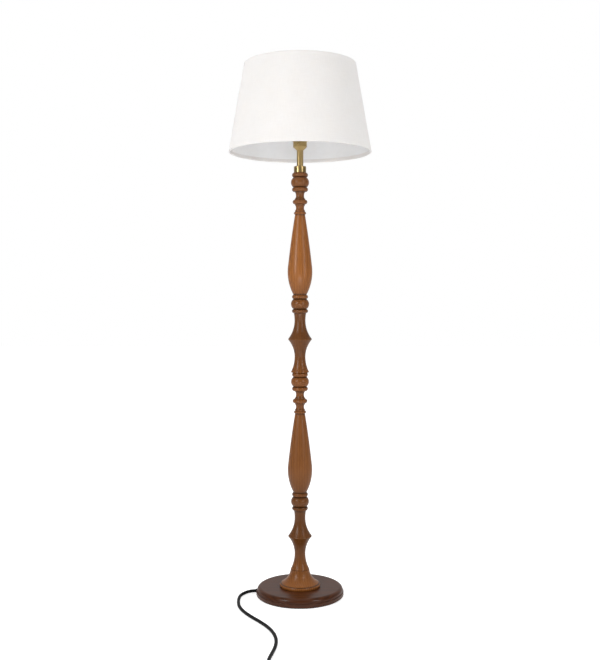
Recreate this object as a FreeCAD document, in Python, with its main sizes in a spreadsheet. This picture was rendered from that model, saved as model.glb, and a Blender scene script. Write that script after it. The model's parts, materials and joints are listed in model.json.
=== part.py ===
"""Candlestick floor lamp: two turned stems on a moulded foot, brass neck, tapered fabric shade.

Millimetres, +Z up, origin on the floor under the middle of the foot. Each piece is an object of its
own; its Label is the name of its file in parts/. +X is the lamp's right, -Y its front.
"""
import FreeCAD, Part
import math
import os

import Sketcher
from FreeCAD import Placement, Rotation, Vector

SIZES = {
    # clearances
    "seat_gap": 0.1,
    "turning_gap": 0.06,
    "facing_gap": 0.25,
    # foot
    "felt_thickness": 2.0,
    "felt_radius": 136.0,
    "foot_radius": 139.8,
    "foot_thickness": 26.8,
    "foot_band": 12.4,
    "foot_band_round": 1.6,
    "foot_ledge": 2.4,
    "foot_shoulder": 12.0,
    "recess_radius": 120.0,
    "recess_depth": 18.0,
    "weight_radius": 117.0,
    "weight_thickness": 6.0,
    "weight_screw_circle": 92.0,
    "weight_screw_radius": 2.0,
    "weight_screw_length": 12.0,
    # threaded pipe that ties the lamp together
    "pipe_radius": 5.0,
    "pipe_bore": 3.6,
    "pipe_hole": 5.6,
    "nut_flats": 14.0,
    "nut_height": 3.4,
    "washer_radius": 14.0,
    "washer_thickness": 1.4,
    "pipe_overhang": 0.8,
    "coupler_radius": 7.0,
    "coupler_length": 30.0,
    "counterbore_radius": 8.6,
    "counterbore_depth": 16.0,
    "spigot_radius": 12.5,
    "spigot_height": 12.0,
    # skirt between foot and stem
    "skirt_height": 55.8,
    "skirt_radius": 65.0,
    "skirt_edge": 10.0,
    "skirt_edge_bulge": 1.8,
    "skirt_step": 1.4,
    "skirt_top_radius": 29.7,
    "skirt_flare": 55.5,
    # turned stem, from its bottom to its top
    "bell_foot_radius": 29.4,
    "lower_flare_height": 49.4,
    "lower_waist_radius": 17.3,
    "lower_bell_height": 56.0,
    "ridge_radius": 38.3,
    "upper_bell_height": 59.0,
    "upper_waist_radius": 17.3,
    "spool_top_height": 24.0,
    "spool_top_radius": 19.6,
    "groove_radius": 20.8,
    "ring_low_height": 12.5,
    "ring_low_radius": 25.5,
    "ball_low_height": 32.0,
    "ball_low_radius": 28.7,
    "ring_vase_height": 13.5,
    "ring_vase_radius": 25.4,
    "vase_belly_height": 72.5,
    "vase_radius": 39.1,
    "vase_shoulder_height": 21.0,
    "vase_shoulder_radius": 37.6,
    "vase_taper_height": 159.5,
    "vase_top_radius": 15.8,
    "vase_taper_bow": 3000.0,
    "bead_height": 8.5,
    "bead_radius": 19.3,
    "fillet_low_height": 4.5,
    "fillet_radius": 15.8,
    "neck_low_height": 15.5,
    "neck_end_radius": 14.6,
    "neck_radius": 12.7,
    "fillet_mid_height": 4.0,
    "disc_height": 14.0,
    "disc_radius": 23.2,
    "disc_groove_radius": 17.4,
    "fillet_top_height": 3.5,
    "fillet_top_radius": 16.8,
    "neck_top_height": 19.0,
    "fillet_high_height": 2.8,
    "ring_high_height": 13.5,
    "ring_high_radius": 25.3,
    "ball_high_height": 31.2,
    "ball_high_radius": 28.5,
    "collar_height": 14.5,
    "collar_radius": 25.2,
    # brass ferrule and tube
    "ferrule_radius": 19.3,
    "ferrule_height": 19.9,
    "ferrule_round": 1.2,
    "tube_radius": 10.3,
    "tube_wall": 1.3,
    "tube_seat": 5.0,
    "tube_length": 51.0,
    # lampholder, heights from the underside of its cup
    "cup_neck_radius": 11.6,
    "cup_neck_seat": 2.0,
    "cup_floor": 3.0,
    "cup_cone_height": 9.8,
    "cup_radius": 21.7,
    "cup_height": 30.0,
    "cup_wall": 1.2,
    "cup_inner_cone": 9.5,
    "core_shelf": 15.0,
    "core_shelf_radius": 18.4,
    "core_flange": 2.8,
    "core_radius": 18.5,
    "core_floor": 19.0,
    "core_height": 45.0,
    "shell_radius": 20.0,
    "shell_wall": 1.2,
    "shell_height": 47.6,
    "contact_rivet_radius": 2.0,
    "contact_radius": 4.5,
    "contact_thickness": 1.2,
    "screw_shell_wall": 0.9,
    "screw_shell_height": 24.0,
    # bulb
    "bulb_thread_radius": 13.2,
    "bulb_tip_height": 1.5,
    "bulb_tip_radius": 4.6,
    "bulb_glass_height": 3.0,
    "bulb_cap_height": 20.5,
    "bulb_neck_foot_radius": 13.9,
    "bulb_neck_height": 27.0,
    "bulb_neck_radius": 23.0,
    "bulb_globe_radius": 30.0,
    "bulb_globe_height": 58.0,
    # shade carrier, its ring nut and the finial
    "carrier_ring_radius": 30.0,
    "carrier_ring_thickness": 2.0,
    "carrier_wire": 2.0,
    "carrier_reach": 58.0,
    "carrier_foot_bend": 10.0,
    "carrier_top_bend": 42.0,
    "carrier_plate_radius": 10.0,
    "carrier_plate_thickness": 4.0,
    "stud_radius": 3.1,
    "stud_height": 14.0,
    "ring_nut_radius": 24.8,
    "ring_nut_flange": 26.4,
    "ring_nut_flange_height": 2.4,
    "ring_nut_height": 9.0,
    "finial_foot_radius": 7.5,
    "finial_foot_height": 4.0,
    "finial_neck_radius": 4.6,
    "finial_neck_height": 3.0,
    "finial_knob_radius": 8.0,
    "finial_height": 24.0,
    "finial_bore_depth": 14.0,
    # shade
    "shade_lift": 8.2,
    "shade_height": 275.5,
    "shade_bottom_radius": 225.0,
    "shade_top_radius": 175.8,
    "fabric_thickness": 0.7,
    "liner_thickness": 0.6,
    "glue_line": 0.3,
    "liner_margin": 4.5,
    "shade_wire": 1.5,
    "hem_play": 0.5,
    "hem_leg": 9.0,
    "spider_wire": 1.5,
    "spider_hub_radius": 13.0,
    "spider_hub_thickness": 3.6,
    "spider_slot_gap": 0.5,
    # cord entry in the foot
    "cord_radius": 5.0,
    "entry_height": 6.8,
    "entry_offset": 35.0,
    "entry_inner_radius": 6.6,
    "entry_outer_radius": 5.9,
    "entry_length": 24.0,
    "entry_proud": 3.0,
    "first_run": 15.5,
    "tail_length": 72.0,
    "clamp_back": 22.0,
    "clamp_width": 26.0,
    "clamp_length": 12.0,
    "clamp_screw_radius": 1.6,
    "clamp_screw_head": 3.0,
    "clamp_screw_head_height": 0.9,
    "clamp_screw_inset": 4.0,
    "block_length": 24.0,
    "block_width": 18.0,
    "block_height": 9.0,
    "block_screw_radius": 1.7,
    "block_screw_height": 1.0,
    "wire_radius": 1.0,
    "wire_pitch": 2.2,
    "block_wire_pitch": 6.0,
    # foot switch
    "switch_axis": 7.6,
    "switch_run": 27.0,
    "switch_length": 76.0,
    "switch_width": 52.0,
    "switch_corner": 16.0,
    "switch_cover_height": 13.0,
    "switch_wall": 2.4,
    "switch_edge_round": 2.0,
    "switch_relief_length": 20.0,
    "switch_relief_tip": 6.0,
    "switch_relief_foot": 7.2,
    "switch_stub_radius": 4.8,
    "switch_stub_inside": 4.0,
    "switch_post_x": 16.0,
    "switch_post_y": 26.0,
    "switch_post_radius": 3.2,
    "switch_screw_radius": 1.5,
    "switch_screw_length": 13.0,
    "switch_head_radius": 2.7,
    "switch_head_height": 1.2,
    "button_radius": 11.0,
    "button_height": 8.2,
    "button_dome": 2.0,
    "button_flange_radius": 13.0,
    "button_flange_height": 1.6,
    "contact_block_width": 24.0,
    "contact_block_length": 20.0,
    "spring_length": 8.0,
    "spring_radius": 6.0,
    "spring_wire": 0.5,
    # put-away coil
    "coil_outer_radius": 62.0,
    "coil_pitch": 10.8,
    "coil_lift": 1.0,
    "link_corner": 32.0,
    "tie_width": 8.0,
    "tie_thickness": 0.8,
    "tie_corner": 3.0,
    "tie_side_gap": 0.7,
    # plug
    "plug_width": 50.0,
    "plug_neck_width": 34.0,
    "plug_shoulder": 16.0,
    "plug_length": 47.0,
    "plug_thickness": 28.0,
    "plug_edge_round": 2.5,
    "plug_relief_length": 42.0,
    "plug_relief_tip": 5.4,
    "plug_relief_foot": 7.8,
    "line_pin_inset": 12.5,
    "line_pin_width": 6.4,
    "line_pin_thickness": 4.0,
    "line_pin_length": 17.7,
    "line_pin_spacing": 22.2,
    "earth_pin_width": 4.0,
    "earth_pin_thickness": 8.0,
    "earth_pin_length": 22.7,
    "pin_row_spacing": 22.2,
    "pin_root": 10.0,
    "fuse_inset": 0.8,
    "fuse_door_width": 8.4,
    "fuse_door_length": 27.0,
    "fuse_door_depth": 10.0,
    "fuse_door_thickness": 2.0,
    "fuse_radius": 3.2,
    "fuse_length": 25.4,
}

ENTRY_HEADING = 190.0          # degrees from +X, outwards along the cord's hole in the foot
SWITCH_PLACE = (-82.3, -630.0)
COIL_CENTRE = (0.0, -700.0)
COIL_LAYER_TURNS = 1.75
SPIDER_ARMS = 3
CARRIER_SIDES = 2
WEIGHT_SCREWS = 3

# the cord's route from its first bend outside the foot to the switch, level on the floor at last
LEAD_ROUTE = [
    (-171.4, 0.4, 7.4), (-182.5, -11.1, 6.0), (-189.7, -26.5, 5.3), (-192.9, -52.3, 5.1),
    (-191.9, -90.3, 5.1), (-187.8, -124.1, 5.1), (-178.1, -155.6, 5.1), (-163.2, -188.4, 5.1),
    (-142.6, -222.7, 5.1), (-116.9, -260.8, 5.1), (-91.9, -304.1, 5.1), (-74.0, -350.8, 5.1),
    (-65.0, -402.0, 5.1), (-66.8, -454.0, 5.1), (-75.5, -503.0, 5.5),
]


class Size:
    """A length: its number, and the words that bind it to the sheet."""

    def __init__(self, number, words):
        self.number = number
        self.words = words

    def __add__(self, other):
        other = as_size(other)
        return Size(self.number + other.number, f"({self.words} + {other.words})")

    def __sub__(self, other):
        other = as_size(other)
        return Size(self.number - other.number, f"({self.words} - {other.words})")

    def __mul__(self, other):
        other = as_size(other)
        return Size(self.number * other.number, f"({self.words} * {other.words})")

    def __truediv__(self, other):
        other = as_size(other)
        return Size(self.number / other.number, f"({self.words} / {other.words})")

    def __radd__(self, other):
        return as_size(other) + self

    def __rsub__(self, other):
        return as_size(other) - self

    def __rmul__(self, other):
        return as_size(other) * self

    def __neg__(self):
        return as_size(0) - self


def as_size(value):
    return value if isinstance(value, Size) else Size(value, repr(float(value)))


def root(size):
    return Size(math.sqrt(size.number), f"sqrt({size.words})")


def total(sizes):
    result = sizes[0]
    for size in sizes[1:]:
        result = result + size
    return result


document = FreeCAD.newDocument("candlestick_floor_lamp")
sheet = document.addObject("Spreadsheet::Sheet", "Sizes")
for row, (alias, value) in enumerate(SIZES.items(), start=1):
    sheet.set(f"A{row}", alias)
    sheet.set(f"B{row}", str(value))
    sheet.setAlias(f"B{row}", alias)
document.recompute()


class Sheet:
    """The sheet's sizes by name."""

    def __getattr__(self, alias):
        return Size(SIZES[alias], f"Sizes.{alias}")


s = Sheet()
nodes = []


def bind(thing, path, value):
    """Set a property path to a size and bind it to the sheet."""
    size = as_size(value)
    if "Sizes." in size.words:
        thing.setExpression(path, size.words)
    elif "." not in path:
        setattr(thing, path, size.number)


def place(thing, x=0.0, y=0.0, z=0.0, rotation=Rotation()):
    thing.Placement = Placement(Vector(*(as_size(v).number for v in (x, y, z))), rotation)
    for axis, value in (("x", x), ("y", y), ("z", z)):
        bind(thing, f"Placement.Base.{axis}", value)
    return thing


def node(thing, label):
    """Name a finished piece: its label is its file's name."""
    thing.Label = label
    nodes.append(thing)
    return thing


# ---------------------------------------------------------------- outlines

class Outline:
    """Corners joined by lines and arcs; x runs outwards and y upwards."""

    def __init__(self, x, y):
        self.corners = [(as_size(x), as_size(y))]
        self.edges = []

    @property
    def y(self):
        return self.corners[-1][1]

    @property
    def x(self):
        return self.corners[-1][0]

    def to(self, x, y):
        self.edges.append(None)
        self.corners.append((as_size(x), as_size(y)))
        return self

    def arc(self, x, y, radius, turn):
        """Arc to (x, y); turn is 1 for a left turn and -1 for a right one."""
        self.edges.append((as_size(radius), turn))
        self.corners.append((as_size(x), as_size(y)))
        return self

    def upright_arc(self, x, rise, leaves_upright):
        """Arc over a rise whose tangent is upright at its start, or else at its end."""
        x = as_size(x)
        widens = x.number > self.x.number
        step = (x - self.x) if widens else (self.x - x)
        radius = (rise * rise + step * step) / (2 * step)
        turn = 1 if widens != leaves_upright else -1
        return self.arc(x, self.y + rise, radius, turn)

    def bead(self, height, radius, groove):
        """Half-round bead, standing proud of the groove at each end."""
        self.upright_arc(radius, height / 2, leaves_upright=False)
        return self.upright_arc(groove, height / 2, leaves_upright=True)

    def cove(self, height, waist, end):
        self.upright_arc(waist, height / 2, leaves_upright=False)
        return self.upright_arc(end, height / 2, leaves_upright=True)

    def close(self, radius=None, turn=1):
        """Close with a line, or with an arc of a radius."""
        self.edges.append((as_size(radius), turn) if radius else None)
        return self


def arc_geometry(start, end, radius, turn):
    """Circle's arc from start to end; the second value says which end of it is the start."""
    chord = end - start
    left = Vector(-chord.y, chord.x, 0)
    left.normalize()
    height = math.sqrt(max(radius ** 2 - (chord.Length / 2) ** 2, 0))
    centre = (start + end) / 2 + left * height * turn
    first, last = (start, end) if turn > 0 else (end, start)
    angles = [math.atan2(p.y - centre.y, p.x - centre.x) for p in (first, last)]
    if angles[1] < angles[0]:
        angles[1] += 2 * math.pi
    circle = Part.Circle(centre, Vector(0, 0, 1), radius)
    return Part.ArcOfCircle(circle, angles[0], angles[1]), (1 if turn > 0 else 2)


def fix_point(limits, geometry, end, corner):
    """Hold a point at its corner's distances from the sketch's origin."""
    for kind, size, axis in (("DistanceX", corner[0], -2), ("DistanceY", corner[1], -1)):
        if abs(size.number) < 1e-9:
            limits.append((Sketcher.Constraint("PointOnObject", geometry, end, axis), None))
        elif size.number > 0:
            limits.append((Sketcher.Constraint(kind, -1, 1, geometry, end, size.number), size))
        else:
            limits.append((Sketcher.Constraint(kind, geometry, end, -1, 1, -size.number), -size))


def fix_bend(limits, geometry, radius, corner, chord):
    """Hold an arc's radius, or its centre's height where it is a whole half circle."""
    if abs(chord - 2 * radius.number) > 1e-6:
        limits.append((Sketcher.Constraint("Radius", geometry, radius.number), radius))
    else:
        level = corner[1]
        limits.append((Sketcher.Constraint("DistanceY", -1, 1, geometry, 3, level.number), level))


def draw(sketch, outlines=(), circles=()):
    """Fill a sketch; every corner, centre and radius is bound to the sheet."""
    limits = []
    for outline in outlines:
        corners = outline.corners
        points = [Vector(x.number, y.number, 0) for x, y in corners]
        closed = len(outline.edges) == len(corners)
        first = sketch.GeometryCount
        starts = []
        for index, edge in enumerate(outline.edges):
            start, end = points[index], points[(index + 1) % len(points)]
            if edge is None:
                sketch.addGeometry(Part.LineSegment(start, end), False)
                starts.append(1)
            else:
                curve, which = arc_geometry(start, end, edge[0].number, edge[1])
                sketch.addGeometry(curve, False)
                starts.append(which)
        count = len(outline.edges)
        for index in range(count):
            fix_point(limits, first + index, starts[index], corners[index])
            if outline.edges[index]:
                fix_bend(limits, first + index, outline.edges[index][0], corners[index],
                         (points[index] - points[(index + 1) % len(points)]).Length)
            following = (index + 1) % count
            if closed or index + 1 < count:
                joint = Sketcher.Constraint("Coincident", first + index, 3 - starts[index],
                                            first + following, starts[following])
                limits.append((joint, None))
        if not closed:
            fix_point(limits, first + count - 1, 3 - starts[-1], corners[-1])
    for x, y, radius in circles:
        centre = (as_size(x), as_size(y))
        circle = Part.Circle(Vector(centre[0].number, centre[1].number, 0), Vector(0, 0, 1),
                             as_size(radius).number)
        index = sketch.addGeometry(circle, False)
        fix_point(limits, index, 3, centre)
        limits.append((Sketcher.Constraint("Radius", index, as_size(radius).number), as_size(radius)))
    first = sketch.ConstraintCount
    sketch.addConstraint([limit for limit, size in limits])
    for index, (limit, size) in enumerate(limits, start=first):
        if size is not None and "Sizes." in size.words:
            sketch.setExpression(f"Constraints[{index}]", size.words)


def sketch_on(body, role, outlines=(), circles=(), offset=0.0):
    """Sketch on one of the body's own planes, moved along its normal by the offset."""
    sketch = body.newObject("Sketcher::SketchObject", "outline")
    plane = next(plane for plane in body.Origin.OriginFeatures if plane.Role == role)
    sketch.AttachmentSupport = (plane, "")
    sketch.MapMode = "FlatFace"
    sketch.AttachmentOffset = Placement(Vector(0, 0, as_size(offset).number), Rotation())
    bind(sketch, "AttachmentOffset.Base.z", offset)
    draw(sketch, outlines, circles)
    return sketch


# ---------------------------------------------------------------- ways to make a piece

def new_body(name):
    return document.addObject("PartDesign::Body", name)


def revolve(body, outlines=(), circles=()):
    feature = body.newObject("PartDesign::Revolution", "turned")
    feature.Profile = sketch_on(body, "XZ_Plane", outlines, circles)
    feature.ReferenceAxis = (feature.Profile[0], ["V_Axis"])
    feature.Angle = 360
    return feature


def turned(label, outline, x=0.0, y=0.0, z=0.0, rotation=Rotation()):
    """Piece turned about its own Z axis from one closed outline."""
    body = new_body(label)
    revolve(body, [outline.close()])
    return node(place(body, x, y, z, rotation), label)


def pad(body, height, outlines=(), circles=(), offset=0.0, role="XY_Plane"):
    feature = body.newObject("PartDesign::Pad", "pad")
    feature.Profile = sketch_on(body, role, outlines, circles, offset)
    bind(feature, "Length", height)
    return feature


def pocket(body, depth, outlines=(), circles=(), offset=0.0, role="XY_Plane", upwards=False):
    """Cut from the offset plane, down unless it is told to go up."""
    feature = body.newObject("PartDesign::Pocket", "pocket")
    feature.Profile = sketch_on(body, role, outlines, circles, offset)
    bind(feature, "Length", depth)
    feature.Reversed = upwards
    return feature


def around(body, feature, count):
    """Repeat a feature about the body's Z axis."""
    pattern = body.newObject("PartDesign::PolarPattern", "around")
    pattern.Originals = [feature]
    axis = next(line for line in body.Origin.OriginFeatures if line.Role == "Z_Axis")
    pattern.Axis = (axis, [""])
    pattern.Angle = 360
    pattern.Occurrences = count
    body.Tip = pattern
    return pattern


def bent_wire(body, path, wire, start_x):
    """Round wire along an open path that sets out along X from start_x."""
    feature = body.newObject("PartDesign::AdditivePipe", "bent_wire")
    spine = sketch_on(body, "XZ_Plane", [path])
    section = sketch_on(body, "YZ_Plane", circles=[(0, path.corners[0][1], wire)], offset=start_x)
    feature.Profile = section
    feature.Spine = spine
    return feature


def box_outline(x_low, y_low, x_high, y_high):
    return Outline(x_low, y_low).to(x_high, y_low).to(x_high, y_high).to(x_low, y_high).close()


def rounded_box(width, length, corner):
    """Rounded rectangle about the origin."""
    x, y = width / 2, length / 2
    inner_x, inner_y = x - corner, y - corner
    outline = Outline(-inner_x, -y).to(inner_x, -y).arc(x, -inner_y, corner, 1)
    outline.to(x, inner_y).arc(inner_x, y, corner, 1)
    outline.to(-inner_x, y).arc(-x, inner_y, corner, 1)
    return outline.to(-x, -inner_y).close(corner, 1)


def hexagon(flats):
    corner = flats / math.sqrt(3)
    points = [(corner * math.cos(math.radians(60 * k)), corner * math.sin(math.radians(60 * k)))
              for k in range(6)]
    outline = Outline(*points[0])
    for x, y in points[1:]:
        outline.to(x, y)
    return outline.close()


def hex_nut(label, z):
    body = new_body(label)
    pad(body, s.nut_height, [hexagon(s.nut_flats)], [(0, 0, s.pipe_radius + s.turning_gap)])
    return node(place(body, z=z), label)


def tube_outline(inner, outer, low, high):
    return Outline(inner, low).to(outer, low).to(outer, high).to(inner, high)


def group(label, things):
    """Like pieces that share one node."""
    compound = document.addObject("Part::Compound", label)
    compound.Links = things
    return node(compound, label)


def cylinder(radius, height, x=0.0, y=0.0, z=0.0, rotation=Rotation()):
    thing = document.addObject("Part::Cylinder", "cylinder")
    bind(thing, "Radius", radius)
    bind(thing, "Height", height)
    return place(thing, x, y, z, rotation)


def block(length, width, height, x=0.0, y=0.0, z=0.0, rotation=Rotation()):
    thing = document.addObject("Part::Box", "block")
    bind(thing, "Length", length)
    bind(thing, "Width", width)
    bind(thing, "Height", height)
    return place(thing, x, y, z, rotation)


def fused(things):
    fuse = document.addObject("Part::MultiFuse", "fused")
    fuse.Shapes = things
    return fuse


def cut(base, tools):
    result = document.addObject("Part::Cut", "cut")
    result.Base = base
    result.Tool = tools[0] if len(tools) == 1 else fused(tools)
    return result


def solid_piece(label, shape):
    """Piece whose shape is worked out here, because it follows a route in space."""
    piece = document.addObject("Part::Feature", label)
    piece.Shape = shape
    return node(piece, label)


# ---------------------------------------------------------------- heights of the assembly

STEM_RISES = [
    s.lower_flare_height, s.lower_bell_height, s.upper_bell_height, s.spool_top_height,
    s.ring_low_height, s.ball_low_height, s.ring_vase_height, s.vase_belly_height,
    s.vase_shoulder_height, s.vase_taper_height, s.bead_height, s.fillet_low_height,
    s.neck_low_height, s.fillet_mid_height, s.disc_height, s.fillet_top_height,
    s.neck_top_height, s.fillet_high_height, s.ring_high_height, s.ball_high_height, s.collar_height,
]
stem_length = total(STEM_RISES)
foot_top = s.felt_thickness + s.foot_thickness
lower_stem_base = foot_top + s.skirt_height
upper_stem_base = lower_stem_base + stem_length
ferrule_base = upper_stem_base + stem_length
tube_base = ferrule_base + s.ferrule_height
cup_base = tube_base + s.tube_length
recess_roof = s.felt_thickness + s.recess_depth
weight_base = recess_roof - s.weight_thickness
washer_base = weight_base - s.washer_thickness
base_nut_base = washer_base - s.nut_height
pipe_end = base_nut_base - s.pipe_overhang
coupler_base = upper_stem_base + s.spigot_height - s.coupler_length / 2
carrier_base = cup_base + s.cup_height
shade_base = cup_base - s.shade_lift
entry_axis = s.felt_thickness + s.entry_height
coil_low = s.cord_radius + s.seat_gap + s.coil_lift


# ---------------------------------------------------------------- foot

def make_foot():
    turned("felt_pad", Outline(0, 0).to(s.felt_radius, 0).to(s.felt_radius, s.felt_thickness)
           .to(0, s.felt_thickness))

    body = new_body("foot_disc_turned")
    rim = s.foot_radius
    step = rim - s.foot_ledge
    top = s.foot_thickness
    profile = Outline(s.recess_radius, 0).to(rim - s.foot_band_round, 0)
    profile.arc(rim, s.foot_band_round, s.foot_band_round, 1)
    profile.to(rim, s.foot_band - s.foot_band_round)
    profile.arc(rim - s.foot_band_round, s.foot_band, s.foot_band_round, 1)
    profile.to(step, s.foot_band).to(step, top - s.foot_shoulder)
    profile.arc(step - s.foot_shoulder, top, s.foot_shoulder, 1)
    profile.to(s.pipe_hole, top).to(s.pipe_hole, s.recess_depth)
    profile.to(s.recess_radius, s.recess_depth)
    revolve(body, [profile.close()])
    # slot in the rim for the cord's entry, with a round top
    slot = s.entry_inner_radius + s.seat_gap
    turn = Rotation(Vector(0, 0, 1), ENTRY_HEADING)
    pilot = pocket(body, s.weight_screw_length - s.weight_thickness,
                   circles=[(s.weight_screw_circle, 0, s.weight_screw_radius + s.turning_gap)],
                   offset=s.recess_depth, upwards=True)
    around(body, pilot, WEIGHT_SCREWS)
    place(body, z=s.felt_thickness)
    reach = s.foot_radius
    bore = cylinder(slot, reach, *entry_point(0), entry_axis,
                    turn * Rotation(Vector(0, 1, 0), 90))
    opening = block(reach, 2 * slot, s.entry_height, *entry_point(0, -slot), s.felt_thickness, turn)
    node(cut(body, [bore, opening]), "foot_disc")

    weight = new_body("foot_weight_disc")
    revolve(weight, [tube_outline(s.pipe_hole, s.weight_radius, 0, s.weight_thickness).close()])
    hole = pocket(weight, s.weight_thickness,
                  circles=[(s.weight_screw_circle, 0, s.weight_screw_radius + s.turning_gap)],
                  offset=0, upwards=True)
    around(weight, hole, WEIGHT_SCREWS)
    place(weight, z=weight_base)
    holes = [cylinder(s.clamp_screw_radius + s.turning_gap, s.weight_thickness, *spot, weight_base)
             for spot in clamp_screw_spots()]
    node(cut(weight, holes), "foot_weight")

    head = 2 * s.weight_screw_radius
    screws = []
    for number in range(WEIGHT_SCREWS):
        angle = math.radians(360 * number / WEIGHT_SCREWS)
        x, y = s.weight_screw_circle * math.cos(angle), s.weight_screw_circle * math.sin(angle)
        shank = cylinder(s.weight_screw_radius, s.weight_screw_length - s.seat_gap, x, y, weight_base)
        cap = cylinder(head, s.washer_thickness, x, y, weight_base - s.washer_thickness)
        screws.append(fused([shank, cap]))
    group("weight_screws", screws)

    turned("foot_washer", tube_outline(s.pipe_hole, s.washer_radius, 0, s.washer_thickness),
           z=washer_base)
    hex_nut("foot_nut", base_nut_base)


def entry_point(along, across=0.0):
    """Floor position on the cord hole's axis, measured from the middle of the lamp."""
    cosine = math.cos(math.radians(ENTRY_HEADING))
    sine = math.sin(math.radians(ENTRY_HEADING))
    along, across = as_size(along), as_size(across) - s.entry_offset
    return (along * cosine - across * sine, along * sine + across * cosine)


def rim_reach():
    """Distance along the cord hole's axis to the outside of the foot."""
    return root(s.foot_radius * s.foot_radius - s.entry_offset * s.entry_offset)


def clamp_middle():
    inner = root(s.recess_radius * s.recess_radius - s.entry_offset * s.entry_offset)
    return inner - s.clamp_back


def clamp_screw_spots():
    side = s.clamp_width / 2 - s.clamp_screw_inset
    return [entry_point(clamp_middle(), side), entry_point(clamp_middle(), -side)]


def make_cord_entry():
    """Tapered strain relief in the rim, clamp, terminal block and the wires to the lampholder."""
    turn = Rotation(Vector(0, 0, 1), ENTRY_HEADING)
    lying = turn * Rotation(Vector(0, 1, 0), 90)
    face = rim_reach() + s.entry_proud
    bore = s.cord_radius + s.seat_gap
    relief = Outline(bore, 0).to(s.entry_inner_radius, 0)
    relief.to(s.entry_inner_radius, s.entry_length - 2 * s.entry_proud)
    relief.to(s.entry_outer_radius, s.entry_length).to(bore, s.entry_length)
    turned("cord_strain_relief", relief, *entry_point(face - s.entry_length), entry_axis, lying)

    tail = cylinder(s.cord_radius, s.tail_length, *entry_point(face - s.tail_length), entry_axis, lying)
    node(tail, "cord_tail")

    floor = s.felt_thickness + s.clamp_screw_head_height + s.facing_gap
    height = weight_base - s.seat_gap - floor
    back = clamp_middle() - s.clamp_length / 2
    saddle = block(s.clamp_length, s.clamp_width, height,
                   *entry_point(back, -s.clamp_width / 2), floor, turn)
    groove = cylinder(bore, s.clamp_length, *entry_point(back), entry_axis, lying)
    throat = block(s.clamp_length, 2 * bore, height, *entry_point(back, -bore), entry_axis, turn)
    holes = [cylinder(s.clamp_screw_radius + s.turning_gap, height, x, y, floor)
             for x, y in clamp_screw_spots()]
    node(cut(saddle, [groove, throat] + holes), "cord_clamp")
    screws = []
    for x, y in clamp_screw_spots():
        head = cylinder(s.clamp_screw_head, s.clamp_screw_head_height, x, y,
                        floor - s.clamp_screw_head_height)
        shank = cylinder(s.clamp_screw_radius, height + s.weight_thickness, x, y, floor)
        screws.append(fused([head, shank]))
    group("cord_clamp_screws", screws)

    block_face = face - s.tail_length
    block_back = block_face - s.block_length
    body_block = block(s.block_length, s.block_width, s.block_height,
                       *entry_point(block_back, -s.block_width / 2),
                       weight_base - s.seat_gap - s.block_height, turn)
    node(body_block, "terminal_block")
    heads = []
    for across in (-1, 0, 1):
        for share in (0.25, 0.75):
            spot = entry_point(block_back + s.block_length * share, s.block_wire_pitch * across)
            heads.append(cylinder(s.block_screw_radius, s.block_screw_height, *spot,
                                  weight_base - s.seat_gap - s.block_height - s.block_screw_height))
    group("terminal_screws", heads)
    make_wires(block_back)


def make_wires(block_back):
    """Three cores from the terminal block up the pipe to the lampholder."""
    radius = s.wire_radius.number
    low = s.felt_thickness.number + 1.5 * radius
    start_height = (weight_base - s.block_height / 2 - s.seat_gap).number
    top = (cup_base + s.core_shelf).number
    middle = Vector(*(value.number for value in entry_point(block_back)), 0)
    inwards = Vector(0, 0, 0) - middle
    inwards.normalize()
    sideways = Vector(-inwards.y, inwards.x, 0)
    bend = pipe_end.number - low
    for number, label in enumerate(("live_wire", "neutral_wire", "earth_wire")):
        at_block = entry_point(block_back, s.block_wire_pitch * (number - 1))
        start = Vector(at_block[0].number, at_block[1].number, start_height)
        foot = sideways * (s.wire_pitch.number * (1 - number)) + Vector(0, 0, low)
        towards = Vector(foot.x - start.x, foot.y - start.y, 0)
        towards.normalize()
        leave = Vector(*(-math.cos(math.radians(ENTRY_HEADING)),
                         -math.sin(math.radians(ENTRY_HEADING)), 0))
        first = start + leave * 6 * radius
        settle = first + towards * 8 * radius
        settle.z = low
        first.z = start_height
        points = [start, first, settle, foot, Vector(foot.x, foot.y, top)]
        bends = [2.5 * radius, 4 * radius, bend]
        solid_piece(label, tube_along(points, radius, bends))


# ---------------------------------------------------------------- stem

def make_skirt():
    edge_foot = s.skirt_radius - s.skirt_edge_bulge
    profile = Outline(s.pipe_hole, 0).to(edge_foot, 0)
    profile.bead(s.skirt_edge, s.skirt_radius, edge_foot)
    profile.to(edge_foot - s.skirt_step, profile.y)
    profile.arc(s.skirt_top_radius, s.skirt_height, s.skirt_flare, -1)
    profile.to(s.spigot_radius, s.skirt_height)
    profile.to(s.spigot_radius, s.skirt_height + s.spigot_height)
    profile.to(s.pipe_hole, s.skirt_height + s.spigot_height)
    turned("foot_skirt", profile, z=foot_top)


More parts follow.
